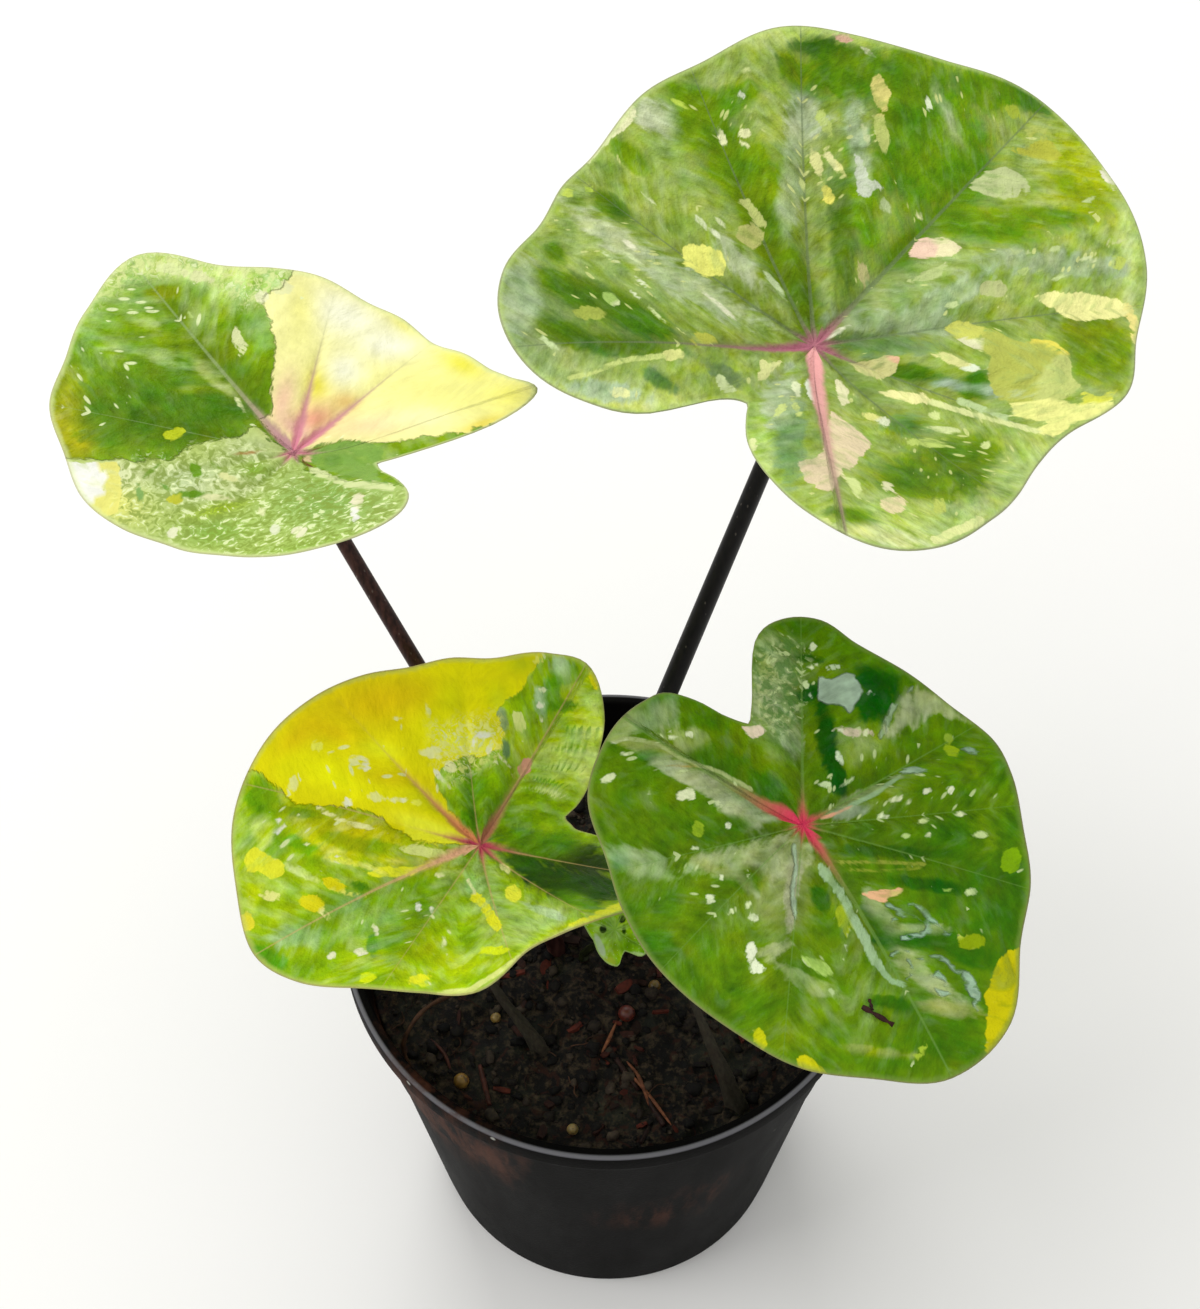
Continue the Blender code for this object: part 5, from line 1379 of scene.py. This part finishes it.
def withered_material():
    """Dead leaf stalk: papery sheath dried onto its fibres, so it is dull, grey-brown and finely ridged."""
    made, add = new_material("withered_stalk_sheath", Roughness=0.85, Specular_IOR_Level=0.2)
    where = add("TexCoord", out="Object")
    # Fibres 0.9 mm wide and 8 mm long, stains of 4.5 mm
    stretched = add("Mapping", Vector=where, Scale=(1.1 / MM, 1.1 / MM, 0.12 / MM))
    fibres = add("TexNoise", Vector=stretched, Scale=1, Detail=4)
    stains = add("TexNoise", Vector=where, Scale=0.22 / MM, Detail=3)
    base = add("Mix", fibres, "181513", "474234", **RGBA)
    stain = add("MapRange", stains, 0.45, 0.7, 0, 0.5)
    colour = add("Mix", stain, base, "2c2118", **RGBA)
    bump = add("Bump", Strength=0.7, Distance=0.4 * MM, Height=fibres)
    return connect(made, Base_Color=colour, Normal=bump)


def make_stubs():
    finish = withered_material()

    def shrivel(share, turn):
        return 1 + 0.14 * sin(5 * turn + 9 * share) + 0.1 * sin(3 * turn - 14 * share)

    for name, (line, (foot, top)) in STUBS.items():
        stations = [Vector(place) * MM for place in line]
        down = (stations[0] - stations[1]).normalized()
        path = [stations[0] + down * 5 * MM, *smooth_path(stations, 8)]
        last = len(path) - 1
        radii = [(top + (foot - top) * (1 - index / last) ** 2) * MM for index in range(len(path))]
        radii[-1] *= 0.6
        points, faces = tube(path, radii, STUB_SIDES, shrivel)
        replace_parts(mesh_piece(name + "_fine", points, faces, finish), name)


# Pot


TAPER = (RIM_RADIUS - RIM_PROUD - BASE_RADIUS) / (POT_HEIGHT - RIM_DEPTH)


def inner_radius(height):
    return BASE_RADIUS - LEDGE_STEP - WALL + TAPER * height


def outer_radius(height):
    return BASE_RADIUS + TAPER * height - (LEDGE_STEP if height < LEDGE_HEIGHT else 0)


def corner(radius, height, rounding, first, last, steps=5):
    """An arc of the profile round a centre, from the first angle to the last, in degrees."""
    turns = [radians(first + (last - first) * step / steps) for step in range(steps + 1)]
    return [(radius + rounding * cos(turn), height + rounding * sin(turn)) for turn in turns]


def pot_profile():
    """Radii and heights from the axis, out along the underside, up the wall and down inside it."""
    rim_low = POT_HEIGHT - RIM_DEPTH
    lip = inner_radius(POT_HEIGHT) + RIM_ROUNDING
    foot = BASE_RADIUS - LEDGE_STEP - BASE_ROUNDING
    outer = [BASE_ROUNDING + (LEDGE_HEIGHT - 2 * BASE_ROUNDING) * step / 12 for step in range(1, 13)]
    outer.append(LEDGE_HEIGHT - 0.5 * LEDGE_STEP)
    outer += [LEDGE_HEIGHT + step * 8 * MM for step in range(4)]
    outer.append(rim_low - 0.5 * MM)
    return [
        (0, 0),
        (foot * 0.5, 0),
        *corner(foot, BASE_ROUNDING, BASE_ROUNDING, -90, 0),
        *[(outer_radius(height), height) for height in outer],
        (outer_radius(rim_low) + 0.5 * MM, rim_low),
        *corner(RIM_RADIUS - RIM_ROUNDING, rim_low + RIM_ROUNDING, RIM_ROUNDING, -90, 0),
        *corner(RIM_RADIUS - RIM_ROUNDING, POT_HEIGHT - RIM_ROUNDING, RIM_ROUNDING, 0, 90),
        *corner(lip, POT_HEIGHT - RIM_ROUNDING, RIM_ROUNDING, 90, 180),
        *[(inner_radius(height), height) for height in (POT_HEIGHT - 8 * MM, SOIL_TOP, SOIL_TOP / 2, FLOOR)],
        (0, FLOOR),
    ]


def circle(radius, sides):
    turns = [2 * pi * side / sides for side in range(sides)]
    return [(radius * cos(turn), radius * sin(turn)) for turn in turns]


def lathe(profile, sides):
    """Points and faces of a turned solid. profile runs from the axis, round the solid, to the axis."""
    points = [(0, 0, profile[0][1])]
    for radius, height in profile[1:-1]:
        points += [(x, y, height) for x, y in circle(radius, sides)]
    points.append((0, 0, profile[-1][1]))
    last = len(points) - 1
    rings = len(profile) - 2
    top = 1 + (rings - 1) * sides
    faces = []
    for side in range(sides):
        after = (side + 1) % sides
        faces.append((0, 1 + after, 1 + side))
        faces.append((top + side, top + after, last))
        for ring in range(rings - 1):
            low = 1 + ring * sides
            faces.append((low + side, low + after, low + sides + after, low + sides + side))
    return points, faces


# Mud on the pot's wall: place in mm, reach and strength
MUD = (
    ((-46, -56, 118), 32, 1.0),
    ((-52, -46, 104), 32, 1.0),
    ((-56, -30, 112), 26, 0.8),
    ((12, -62, 70), 19, 0.7),
    ((26, -59, 80), 15, 0.5),
)


def pot_material():
    """Black polypropylene, injection moulded from recycled stock: a dull skin with a soft grey sheen, a
    painted grey highlight along the rim's top outer edge, dried mud, dust and a few lime specks."""
    made, add = new_material("moulded_black_polypropylene", Specular_IOR_Level=0.024)
    where = add("TexCoord", out="Object")
    # Clouds of 17 mm drawn out down the wall, a grain of 0.7 mm
    flow = add("Mapping", Vector=where, Scale=(1, 1, 0.25))
    cloud = add("TexNoise", Vector=flow, Scale=0.06 / MM, Detail=5, Roughness=0.6)
    grain = add("TexNoise", Vector=where, Scale=1.4 / MM, Detail=2)
    plastic = add("Mix", cloud, "030303", "0c0b0a", **RGBA)
    # Painted highlight: a thin light grey line along the rim's top outer edge.
    height = add("SeparateXYZ", where, out="Z")
    rim_highlight = add("MapRange", height, POT_HEIGHT - 0.8 * MM, POT_HEIGHT - 0.3 * MM, 0, 0.8)
    level = add("Mapping", Vector=where, Scale=(1, 1, 0))
    from_axis = add("VectorMath", level, operation="LENGTH")
    outer = add("MapRange", from_axis, RIM_RADIUS - 1.5 * MM, RIM_RADIUS - 0.9 * MM)
    rim_highlight = add("Math", rim_highlight, outer, **TIMES)
    colour = add("Mix", rim_highlight, plastic, "77767b", **RGBA)
    # Mud: brown washes that have run down from the rim on the left, and a smear in front, in blots of 7 mm
    mud_noise = add("TexNoise", Vector=flow, Scale=0.14 / MM, Detail=5, Roughness=0.7)
    blot = add("MapRange", mud_noise, 0.42, 0.6)
    for place, reach, strength in MUD:
        away = add("VectorMath", where, Vector(place) * MM, operation="DISTANCE")
        away = add("Math", cloud, 1.6 * reach * MM, away, **TIMES_PLUS)
        near = add("MapRange", away, 1.8 * reach * MM, 1.05 * reach * MM, 0, strength)
        amount = add("Math", near, blot, **TIMES)
        colour = add("Mix", amount, colour, "46291d", **RGBA)
    # Lime and dust specks, in a few of the cells of 8 mm
    cells = add("TexVoronoi", out=None, Vector=where, Scale=0.13 / MM)
    pick = add("SeparateColor", cells.outputs["Color"])
    rare = add("Math", pick, 0.94, operation="GREATER_THAN")
    dot = add("MapRange", cells.outputs["Distance"], 0.12, 0.07)
    speck = add("Math", rare, dot, **TIMES)
    colour = add("Mix", speck, colour, "8f8f88", **RGBA)
    rough = add("MapRange", cloud, To_Min=0.42, To_Max=0.68)
    relief = add("Math", cloud, 0.6, grain, **TIMES_PLUS)
    bump = add("Bump", Strength=0.35, Distance=0.25 * MM, Height=relief)
    return connect(made, Base_Color=colour, Roughness=rough, Normal=bump)


def make_pot():
    points, faces = lathe(pot_profile(), POT_SIDES)
    pot = mesh_piece("moulded_pot", points, faces, pot_material())
    pot.data.set_sharp_from_angle(angle=radians(50))
    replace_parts(pot, "pot")
    holes = Heap()
    for index in range(DRAIN_HOLES):
        turn = 2 * pi * (index + 0.5) / DRAIN_HOLES
        place = Vector((DRAIN_CIRCLE * cos(turn), DRAIN_CIRCLE * sin(turn), 0))
        ends = (place - Vector((0, 0, FLOOR)), place + Vector((0, 0, 2 * FLOOR)))
        holes.add(*tube(ends, (DRAIN_RADIUS, DRAIN_RADIUS), 32), 0)
    cutter = mesh_object("drain_holes", holes.points, holes.faces)
    step = pot.modifiers.new("drain_holes", "BOOLEAN")
    step.operation = "DIFFERENCE"
    step.solver = "EXACT"
    step.object = cutter
    bpy.context.view_layer.objects.active = pot
    bpy.ops.object.modifier_apply(modifier=step.name)
    bpy.data.objects.remove(cutter)


# Soil


def clods():
    """Places, sizes and heights of the soil's clods, in metres, as in the solid."""
    draw = Random(SEED)
    found = []
    for _ in range(CLODS):
        reach = 0.93 * inner_radius(SOIL_TOP) * sqrt(draw.random())
        turn = 2 * pi * draw.random()
        size = draw.uniform(*CLOD_SIZES) * MM
        found.append((reach * cos(turn), reach * sin(turn), size, 0.35 * size * draw.uniform(0.3, 1)))
    return found


LUMPS = clods()


def soil_height(x, y):
    """The height of the soil's top in the large."""
    mound = MOUND * 2 ** -((hypot(x - CROWN.x, y - CROWN.y) / MOUND_REACH) ** 2)
    uneven = HUMMOCK * noise(Vector((x, y, 0)) / HUMMOCK_SIZE)
    uneven += GRAIN * noise(Vector((x, y, SOIL_TOP)) / GRAIN_SIZE)
    raised = 0
    for clod_x, clod_y, size, height in LUMPS:
        away = hypot(x - clod_x, y - clod_y) / size
        raised = max(raised, height * max(0, 1 - away * away))
    edge = min(1, (inner_radius(SOIL_TOP) - hypot(x, y)) / WALL_MARGIN)
    return SOIL_TOP - WALL_DROP + (mound + uneven + raised) * max(edge, 0)


def crumbly_height(x, y):
    """The soil's top with its crumbs."""
    place = Vector((x, y, 0.05))
    crumbs = CRUMBLE * abs(noise(place / CRUMBLE_SIZE))
    crumbs += FINE_CRUMBLE * abs(noise(place / FINE_CRUMBLE_SIZE))
    return soil_height(x, y) + crumbs - CRUMBLE_SUNK


def soil_material():
    """Damp peat and composted bark: near-black crumbs with brown fibres, greenish algae on the older lumps,
    and a wet glint here and there."""
    made, add = new_material("damp_peat_and_bark_mix", Specular_IOR_Level=0.15)
    where = add("TexCoord", out="Object")
    # Crumbs of 2.4 mm, algae in patches of 14 mm, tangles of fibre of 7 mm
    crumbs = add("TexNoise", Vector=where, Scale=0.42 / MM, Detail=6, Roughness=0.7)
    patches = add("TexNoise", Vector=where, Scale=0.07 / MM, Detail=3)
    tangle = add("TexNoise", Vector=where, Scale=0.15 / MM, Detail=4, Distortion=2)
    lit = add("MapRange", crumbs, 0.48, 0.68)
    colour = add("Mix", lit, "070504", "463b2e", **RGBA)
    algae = add("MapRange", patches, 0.52, 0.7, 0, 0.4)
    colour = add("Mix", algae, colour, "32362a", **RGBA)
    fibre = add("MapRange", tangle, 0.56, 0.64, 0, 0.7)
    colour = add("Mix", fibre, colour, "2e150d", **RGBA)
    rough = add("MapRange", crumbs, 0.3, 0.7, 0.5, 0.95)
    bump = add("Bump", Strength=0.9, Distance=0.8 * MM, Height=crumbs)
    return connect(made, Base_Color=colour, Roughness=rough, Normal=bump)


def make_soil():
    """A block that fills the pot, in rings from the middle of its top down the wall to a flat underside."""
    outermost = inner_radius(SOIL_TOP - WALL_DROP) - GAP
    low = FLOOR + GAP
    points = []
    for ring in range(1, SOIL_RINGS + 1):
        reach = outermost * ring / SOIL_RINGS
        points += [(x, y, crumbly_height(x, y)) for x, y in circle(reach, SOIL_SIDES)]
    points += [(x, y, low) for x, y in circle(inner_radius(low) - GAP, SOIL_SIDES)]
    top = len(points)
    points += [(0, 0, crumbly_height(0, 0)), (0, 0, low)]
    last = SOIL_RINGS * SOIL_SIDES
    faces = []
    for side in range(SOIL_SIDES):
        after = (side + 1) % SOIL_SIDES
        faces.append((top, side, after))
        faces.append((last + side, top + 1, last + after))
        for inner in range(0, last, SOIL_SIDES):
            outer = inner + SOIL_SIDES
            faces.append((inner + side, outer + side, outer + after, inner + after))
    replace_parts(mesh_piece("crumbly_soil", points, faces, soil_material()), "soil")


# What lies in the soil, and how many of each

CRUMBS = 1000
BARK_FLAKES = 110
FIBRES = 60
FLAKE_LENGTHS = (2.2, 6.5)
FLAKE_THICKNESSES = (0.4, 1.1)
FLAKE_SECTIONS = 6
FLAKE_CORNERS = ((-0.5, -0.5), (0.5, -0.5), (0.5, 0.5), (0, 0.72), (-0.5, 0.5))
# Twigs, as lines on the soil in mm
TWIGS = (((0, -33), (8, -46)), ((9, -44), (15, -57)), ((-36, -38), (-33, -50)), ((20, 40), (34, 46)))
TWIG_RADIUS = 0.75 * MM
# The reddish sliver that shows best, and others, as lines on the soil in mm with a height over it
SLIVERS = (
    ((4, -40, 0.6), (8, -44, 1.3), (13, -50, 1.0), (17, -57, 0.4)),
    ((5, -37, 0.4), (8, -42, 1.6), (10, -47, 1.0), (11, -50, 0.4)),
    ((2, -26, 0.8), (0, -31, 1.4), (-2, -35, 0.6)),
    ((-50, -30, 0.5), (-46, -35, 1.1), (-44, -40, 0.4)),
    ((30, 10, 0.5), (36, 16, 1.4), (44, 18, 0.4)),
    ((-40, 30, 0.5), (-34, 36, 1.2), (-26, 37, 0.4)),
)
SLIVER_RADIUS = 0.4 * MM
FIBRE_RADIUS = 0.16 * MM
FIBRE_STEP = 1.7 * MM
# Fertiliser beads: place and radius in mm, colour
BEADS = (
    (-41, -43, 2.2, "8c6a2c"),
    (-32, -23, 1.5, "8a7038"),
    (13, -14, 1.7, "6f5526"),
    (-10, -58, 1.6, "8a7444"),
    (5, -23, 2.4, "5a2418"),
    (36, 30, 1.8, "84662e"),
)
# Dry root, by its line in mm
ROOT = (
    (-55, -39, 114),
    (-57, -35, 124),
    (-52, -28, 129),
    (-45, -22, 127),
    (-39, -17, 120),
    (-36, -14, 114),
)
ROOT_RADIUS = 0.62 * MM
# Bits of twig on leaf 4: place in the leaf's frame in mm, length, direction in degrees, radius
LEAF_TWIGS = ((50.6, -9.3, 8.2, 34, 0.8), (47.6, -9.4, 2.6, -12, 0.5))


def lump_shape(subdivisions):
    """Points and faces of a ball of radius 1."""
    shape = bmesh.new()
    bmesh.ops.create_icosphere(shape, subdivisions=subdivisions, radius=1)
    points = [vert.co.copy() for vert in shape.verts]
    faces = [tuple(vert.index for vert in face.verts) for face in shape.faces]
    shape.free()
    return points, faces


def clear_of_stalks(x, y, room):
    places = [(leaf.foot[0] * MM, leaf.foot[1] * MM, leaf.radii[0] * MM) for leaf in LEAVES]
    places += [(line[0][0] * MM, line[0][1] * MM, radii[0] * MM) for line, radii in STUBS.values()]
    return all(hypot(x - px, y - py) > radius + room for px, py, radius in places)


def scattered(draw, count, room, inset):
    """Random places on the soil, clear of the stalks."""
    found = []
    while len(found) < count:
        reach = (inner_radius(SOIL_TOP) - inset) * sqrt(draw.random())
        turn = 2 * pi * draw.random()
        x = reach * cos(turn)
        y = reach * sin(turn)
        if clear_of_stalks(x, y, room):
            found.append((x, y))
    return found


def turned(draw):
    """A random turn about the upright axis."""
    return Matrix.Rotation(draw.uniform(0, 2 * pi), 3, "Z")


def heap_material(name, colours, roughness):
    """Loose bits, whose colour runs from dark to light over three tones, uneven from bit to bit, with a
    mottle of 1.7 mm."""
    made, add = new_material(name, Roughness=roughness, Specular_IOR_Level=0.2)
    shade = add("Attribute", out="Fac", attribute_name="shade")
    where = add("TexCoord", out="Object")
    mottle = add("TexNoise", Vector=where, Scale=0.6 / MM, Detail=4)
    ramp = add("ValToRGB", shade, out=None)
    dark, middle, light = (linear(colour) for colour in colours)
    ramp.color_ramp.elements[0].color = dark
    ramp.color_ramp.elements[1].color = light
    ramp.color_ramp.elements.new(0.5).color = middle
    value = add("MapRange", mottle, 0.3, 0.7, 0.5, 1.4)
    colour = add("HueSaturation", Value=value, Color=ramp.outputs[0])
    bump = add("Bump", Strength=0.6, Distance=0.4 * MM, Height=mottle)
    return connect(made, Base_Color=colour, Normal=bump)


def make_crumbs():
    """Peat crumbs and small lumps."""
    draw = Random(SEED + 10)
    shape, faces = lump_shape(2)
    heap = Heap()
    for x, y in scattered(draw, CRUMBS, 0.5 * MM, 2.5 * MM):
        size = (0.4 + 1.7 * draw.random() ** 3) * MM
        stretch = Vector((draw.uniform(0.7, 1.4), draw.uniform(0.7, 1.2), draw.uniform(0.5, 0.9)))
        turn = turned(draw)
        seed = Vector((draw.uniform(0, 90), 0, 0))
        centre = Vector((x, y, crumbly_height(x, y) + 0.25 * size))
        points = []
        for point in shape:
            rough = 1 + 0.7 * noise(point * 2.2 + seed)
            points.append(centre + turn @ Vector([point[i] * stretch[i] * size * rough for i in range(3)]))
        heap.add(points, faces, draw.random())
    heap.piece("peat_crumbs", heap_material("peat_crumbs_damp", ("040302", "120e0b", "3e342a"), 0.8))


def make_bark():
    """Composted bark: flat flakes with broken ends, some reddish."""
    draw = Random(SEED + 20)
    heap = Heap()
    for x, y in scattered(draw, BARK_FLAKES, 2 * MM, 6 * MM):
        long = draw.uniform(*FLAKE_LENGTHS) * MM
        wide = long * draw.uniform(0.18, 0.5)
        thick = draw.uniform(*FLAKE_THICKNESSES) * MM
        tilt = Matrix.Rotation(draw.uniform(-0.5, 0.5), 3, "X")
        tilt = tilt @ Matrix.Rotation(draw.uniform(-0.4, 0.4), 3, "Y")
        turn = turned(draw) @ tilt
        centre = Vector((x, y, crumbly_height(x, y) + 0.3 * thick))
        points = []
        for section in range(FLAKE_SECTIONS):
            share = section / (FLAKE_SECTIONS - 1)
            width = wide * (0.75 + 0.35 * sin(pi * share)) * draw.uniform(0.75, 1.1)
            lift = thick * 0.35 * sin(2.5 * share + x / MM)
            for side, up in FLAKE_CORNERS:
                offset = Vector((long * (share - 0.5), width * side, thick * up + lift))
                points.append(centre + turn @ offset)
        heap.add(points, tube_faces(FLAKE_SECTIONS, len(FLAKE_CORNERS)), draw.random())
    made = heap.piece("bark_flakes", heap_material("composted_bark", ("0c0705", "2a120b", "521f14"), 0.75))
    made.data.set_sharp_from_angle(angle=radians(35))


def on_soil(x, y, up):
    """A point at this height over the soil, all in mm."""
    return Vector((x * MM, y * MM, soil_height(x * MM, y * MM) + up * MM))


def make_twigs():
    """Twigs and slivers of wood, half sunk in the soil."""
    heap = Heap()
    draw = Random(SEED + 30)
    for (x, y), (end_x, end_y) in TWIGS:
        path = [on_soil(x + (end_x - x) * step / 8, y + (end_y - y) * step / 8, 0.3) for step in range(9)]
        heap.add(*tube(path, [TWIG_RADIUS * draw.uniform(0.85, 1.1) for _ in path], 9), draw.random())
    for line in SLIVERS:
        path = smooth_path([on_soil(*place) for place in line], 6)
        last = len(path) - 1
        radii = [SLIVER_RADIUS * (0.35 + sin(pi * index / last) ** 0.5) for index in range(len(path))]
        heap.add(*tube(path, radii, 7), draw.uniform(0.4, 1))
    heap.piece("wood_slivers", heap_material("reddish_wood_slivers", ("1c0e0a", "40201a", "7a4a30"), 0.6))


def make_fibres():
    """Fine root and coir fibres that curl over the crumbs."""
    draw = Random(SEED + 40)
    heap = Heap()
    for x, y in scattered(draw, FIBRES, 2 * MM, 6 * MM):
        heading = draw.uniform(0, 2 * pi)
        stations = []
        for _ in range(5):
            stations.append(Vector((x, y, crumbly_height(x, y) + draw.uniform(0.1, 0.9) * MM)))
            x += cos(heading) * FIBRE_STEP
            y += sin(heading) * FIBRE_STEP
            heading += draw.uniform(-0.9, 0.9)
            if hypot(x, y) > inner_radius(SOIL_TOP) - 2 * MM:
                break
        if len(stations) < 3:
            continue
        path = smooth_path(stations, 4)
        heap.add(*tube(path, [FIBRE_RADIUS] * len(path), 5), draw.random())
    heap.piece("coir_fibres", heap_material("coir_and_root_fibre", ("140d09", "2a1a12", "503626"), 0.8))


def bead_material(name, colour):
    """Slow-release fertiliser bead: a resin skin over a grain, so it is waxy and a little see-through, with
    a mottle of 2 mm."""
    made, add = new_material(name, Subsurface_Weight=0.15, Subsurface_Scale=1 * MM)
    where = add("TexCoord", out="Object")
    mottle = add("TexNoise", Vector=where, Scale=0.5 / MM, Detail=3)
    tone = add("MapRange", mottle, 0.3, 0.7, 0.6, 1.25)
    skin = add("HueSaturation", Value=tone, Color=colour)
    dirt = add("MapRange", mottle, 0.6, 0.66, 0, 0.7)
    soiled = add("Mix", dirt, skin, "1c140e", **RGBA)
    return connect(made, Base_Color=soiled, Roughness=add("MapRange", mottle, To_Min=0.25, To_Max=0.6))


def make_beads():
    shape, faces = lump_shape(3)
    for index, (x, y, radius, colour) in enumerate(BEADS):
        centre = on_soil(x, y, 0.45 * radius)
        points = [point * radius * MM * (1 + 0.04 * noise(point * 2 + centre * 900)) for point in shape]
        name = "fertiliser_bead_%d" % (index + 1)
        finish = bead_material(name + "_resin", colour)
        mesh_piece(name, [centre + point for point in points], faces, finish)


def make_dry_root():
    """A dead root that arches over the soil at the left wall."""
    path = smooth_path([Vector(place) * MM for place in ROOT], 10)

    def knotty(share, turn):
        return 1 + 0.15 * sin(37 * share) + 0.08 * sin(3 * turn + 20 * share)

    heap = Heap()
    heap.add(*tube(path, [ROOT_RADIUS] * len(path), 10, knotty), 0.5)
    heap.piece("dry_root", heap_material("dead_root_bark", ("24160f", "3f2819", "5a3d2b"), 0.7))


def make_leaf_debris():
    """A bit of twig that lies on leaf 4, near its tip."""
    along, left, up = leaf_frame(LEAF_4)
    heap = Heap()
    for x, y, length, turn, radius in LEAF_TWIGS:
        heading = radians(turn)
        path = []
        for step in range(7):
            away = (step / 6 - 0.5) * length * MM
            px = x * MM + away * cos(heading)
            py = y * MM + away * sin(heading)
            height = float(bend(LEAF_4, px, py)) + (radius + 0.35) * MM
            path.append(LEAF_4.joint + along * px + left * py + up * height)
        radii = [radius * MM * (0.7 + 0.3 * sin(2.2 * step)) for step in range(7)]
        heap.add(*tube(path, radii, 8), 0.35)
    finish = heap_material("rotten_twig_bark", ("1e100c", "40201a", "6a3a2c"), 0.6)
    heap.piece("twig_bit_on_leaf", finish)


def tuber_material():
    """Tuber skin: thin brown cork, mottled every 3 mm, with rings of old leaf scars about 5 mm apart."""
    made, add = new_material("tuber_cork_skin", Roughness=0.9)
    where = add("TexCoord", out="Object")
    cork = add("TexNoise", Vector=where, Scale=0.3 / MM, Detail=5)
    rings = add("TexWave", out="Fac", bands_direction="Z", Vector=where, Scale=0.06 / MM, Distortion=4)
    base = add("Mix", cork, "3b2416", "7a5638", **RGBA)
    scars = add("MapRange", rings, 0.6, 0.9, 0, 0.6)
    colour = add("Mix", scars, base, "2a180e", **RGBA)
    bump = add("Bump", Strength=0.8, Distance=0.5 * MM, Height=cork)
    return connect(made, Base_Color=colour, Normal=bump)


def dress_tuber():
    """The tuber's solid stays as it is, under the soil, and takes a skin."""
    tuber = bpy.data.objects["tuber"]
    finish = tuber_material()
    if not tuber.material_slots:
        tuber.data.materials.append(finish)
    for slot in tuber.material_slots:
        slot.material = finish


# Studio: the softboxes' names, places, widths and powers

SOFTBOXES = (("back_softbox", (-0.35, 1.25, 1.7), 0.9, 14), ("left_softbox", (-1.5, -0.4, 1.5), 1.0, 12))
LIGHT_AIM = Vector((0, 0, 0.2))
FLOOR_HALF = 4.0
SKY = 0.75


def make_camera():
    lens = bpy.data.cameras.new("photo_camera")
    lens.sensor_width = SENSOR
    lens.lens = FOCAL_PIXELS / PHOTO_HEIGHT * SENSOR
    lens.clip_start = 0.01
    camera = placed("photo_camera", lens)
    camera.location = CAMERA_PLACE
    camera.rotation_euler = (pi / 2 - CAMERA_PITCH, 0, 0)
    bpy.context.scene.camera = camera


def make_floor():
    """A plain pale floor."""
    finish, _ = new_material("pale_studio_floor", Base_Color=linear("f4f3f0"), Roughness=0.9)
    corners = [(x * FLOOR_HALF, y * FLOOR_HALF, 0) for x, y in ((-1, -1), (1, -1), (1, 1), (-1, 1))]
    floor = mesh_object("studio_floor", corners, [(0, 1, 2, 3)])
    floor.data.materials.append(finish)


def make_light():
    """Two square softboxes that face the plant, and an even white sky."""
    for name, place, size, power in SOFTBOXES:
        light = bpy.data.lights.new(name, "AREA")
        light.size = size
        light.energy = power
        made = placed(name, light)
        made.location = place
        made.rotation_euler = (LIGHT_AIM - Vector(place)).to_track_quat("-Z", "Y").to_euler()
    world = bpy.data.worlds.new("studio_world")
    world.use_nodes = True
    sky = world.node_tree.nodes["Background"]
    sky.inputs["Color"].default_value = linear("ffffff")
    sky.inputs["Strength"].default_value = SKY
    bpy.context.scene.world = world
    bpy.context.scene.view_settings.view_transform = "Standard"


LEAVES = (LEAF_1, LEAF_2, LEAF_3, LEAF_4, YOUNG_LEAF)
LOOKS = (LOOK_1, LOOK_2, LOOK_3, LOOK_4, YOUNG_LOOK)


def main():
    make_camera()
    make_floor()
    make_light()
    near_black = stalk_material("near_black_stalk_skin", "070606", "161210", 0.4)
    purple_brown = stalk_material("purple_brown_stalk_skin", "241210", "4a2d28", 0.4)
    dark_green = stalk_material("dark_young_stalk_skin", "14160a", "2c3216", 0.45)
    finishes = (near_black, purple_brown, purple_brown, near_black, dark_green)
    for leaf, look, finish in zip(LEAVES, LOOKS, finishes):
        make_blade(leaf, look)
        make_stalk(leaf, finish)
    make_stubs()
    make_pot()
    make_soil()
    make_crumbs()
    make_bark()
    make_twigs()
    make_fibres()
    make_beads()
    make_dry_root()
    make_leaf_debris()
    dress_tuber()


main()
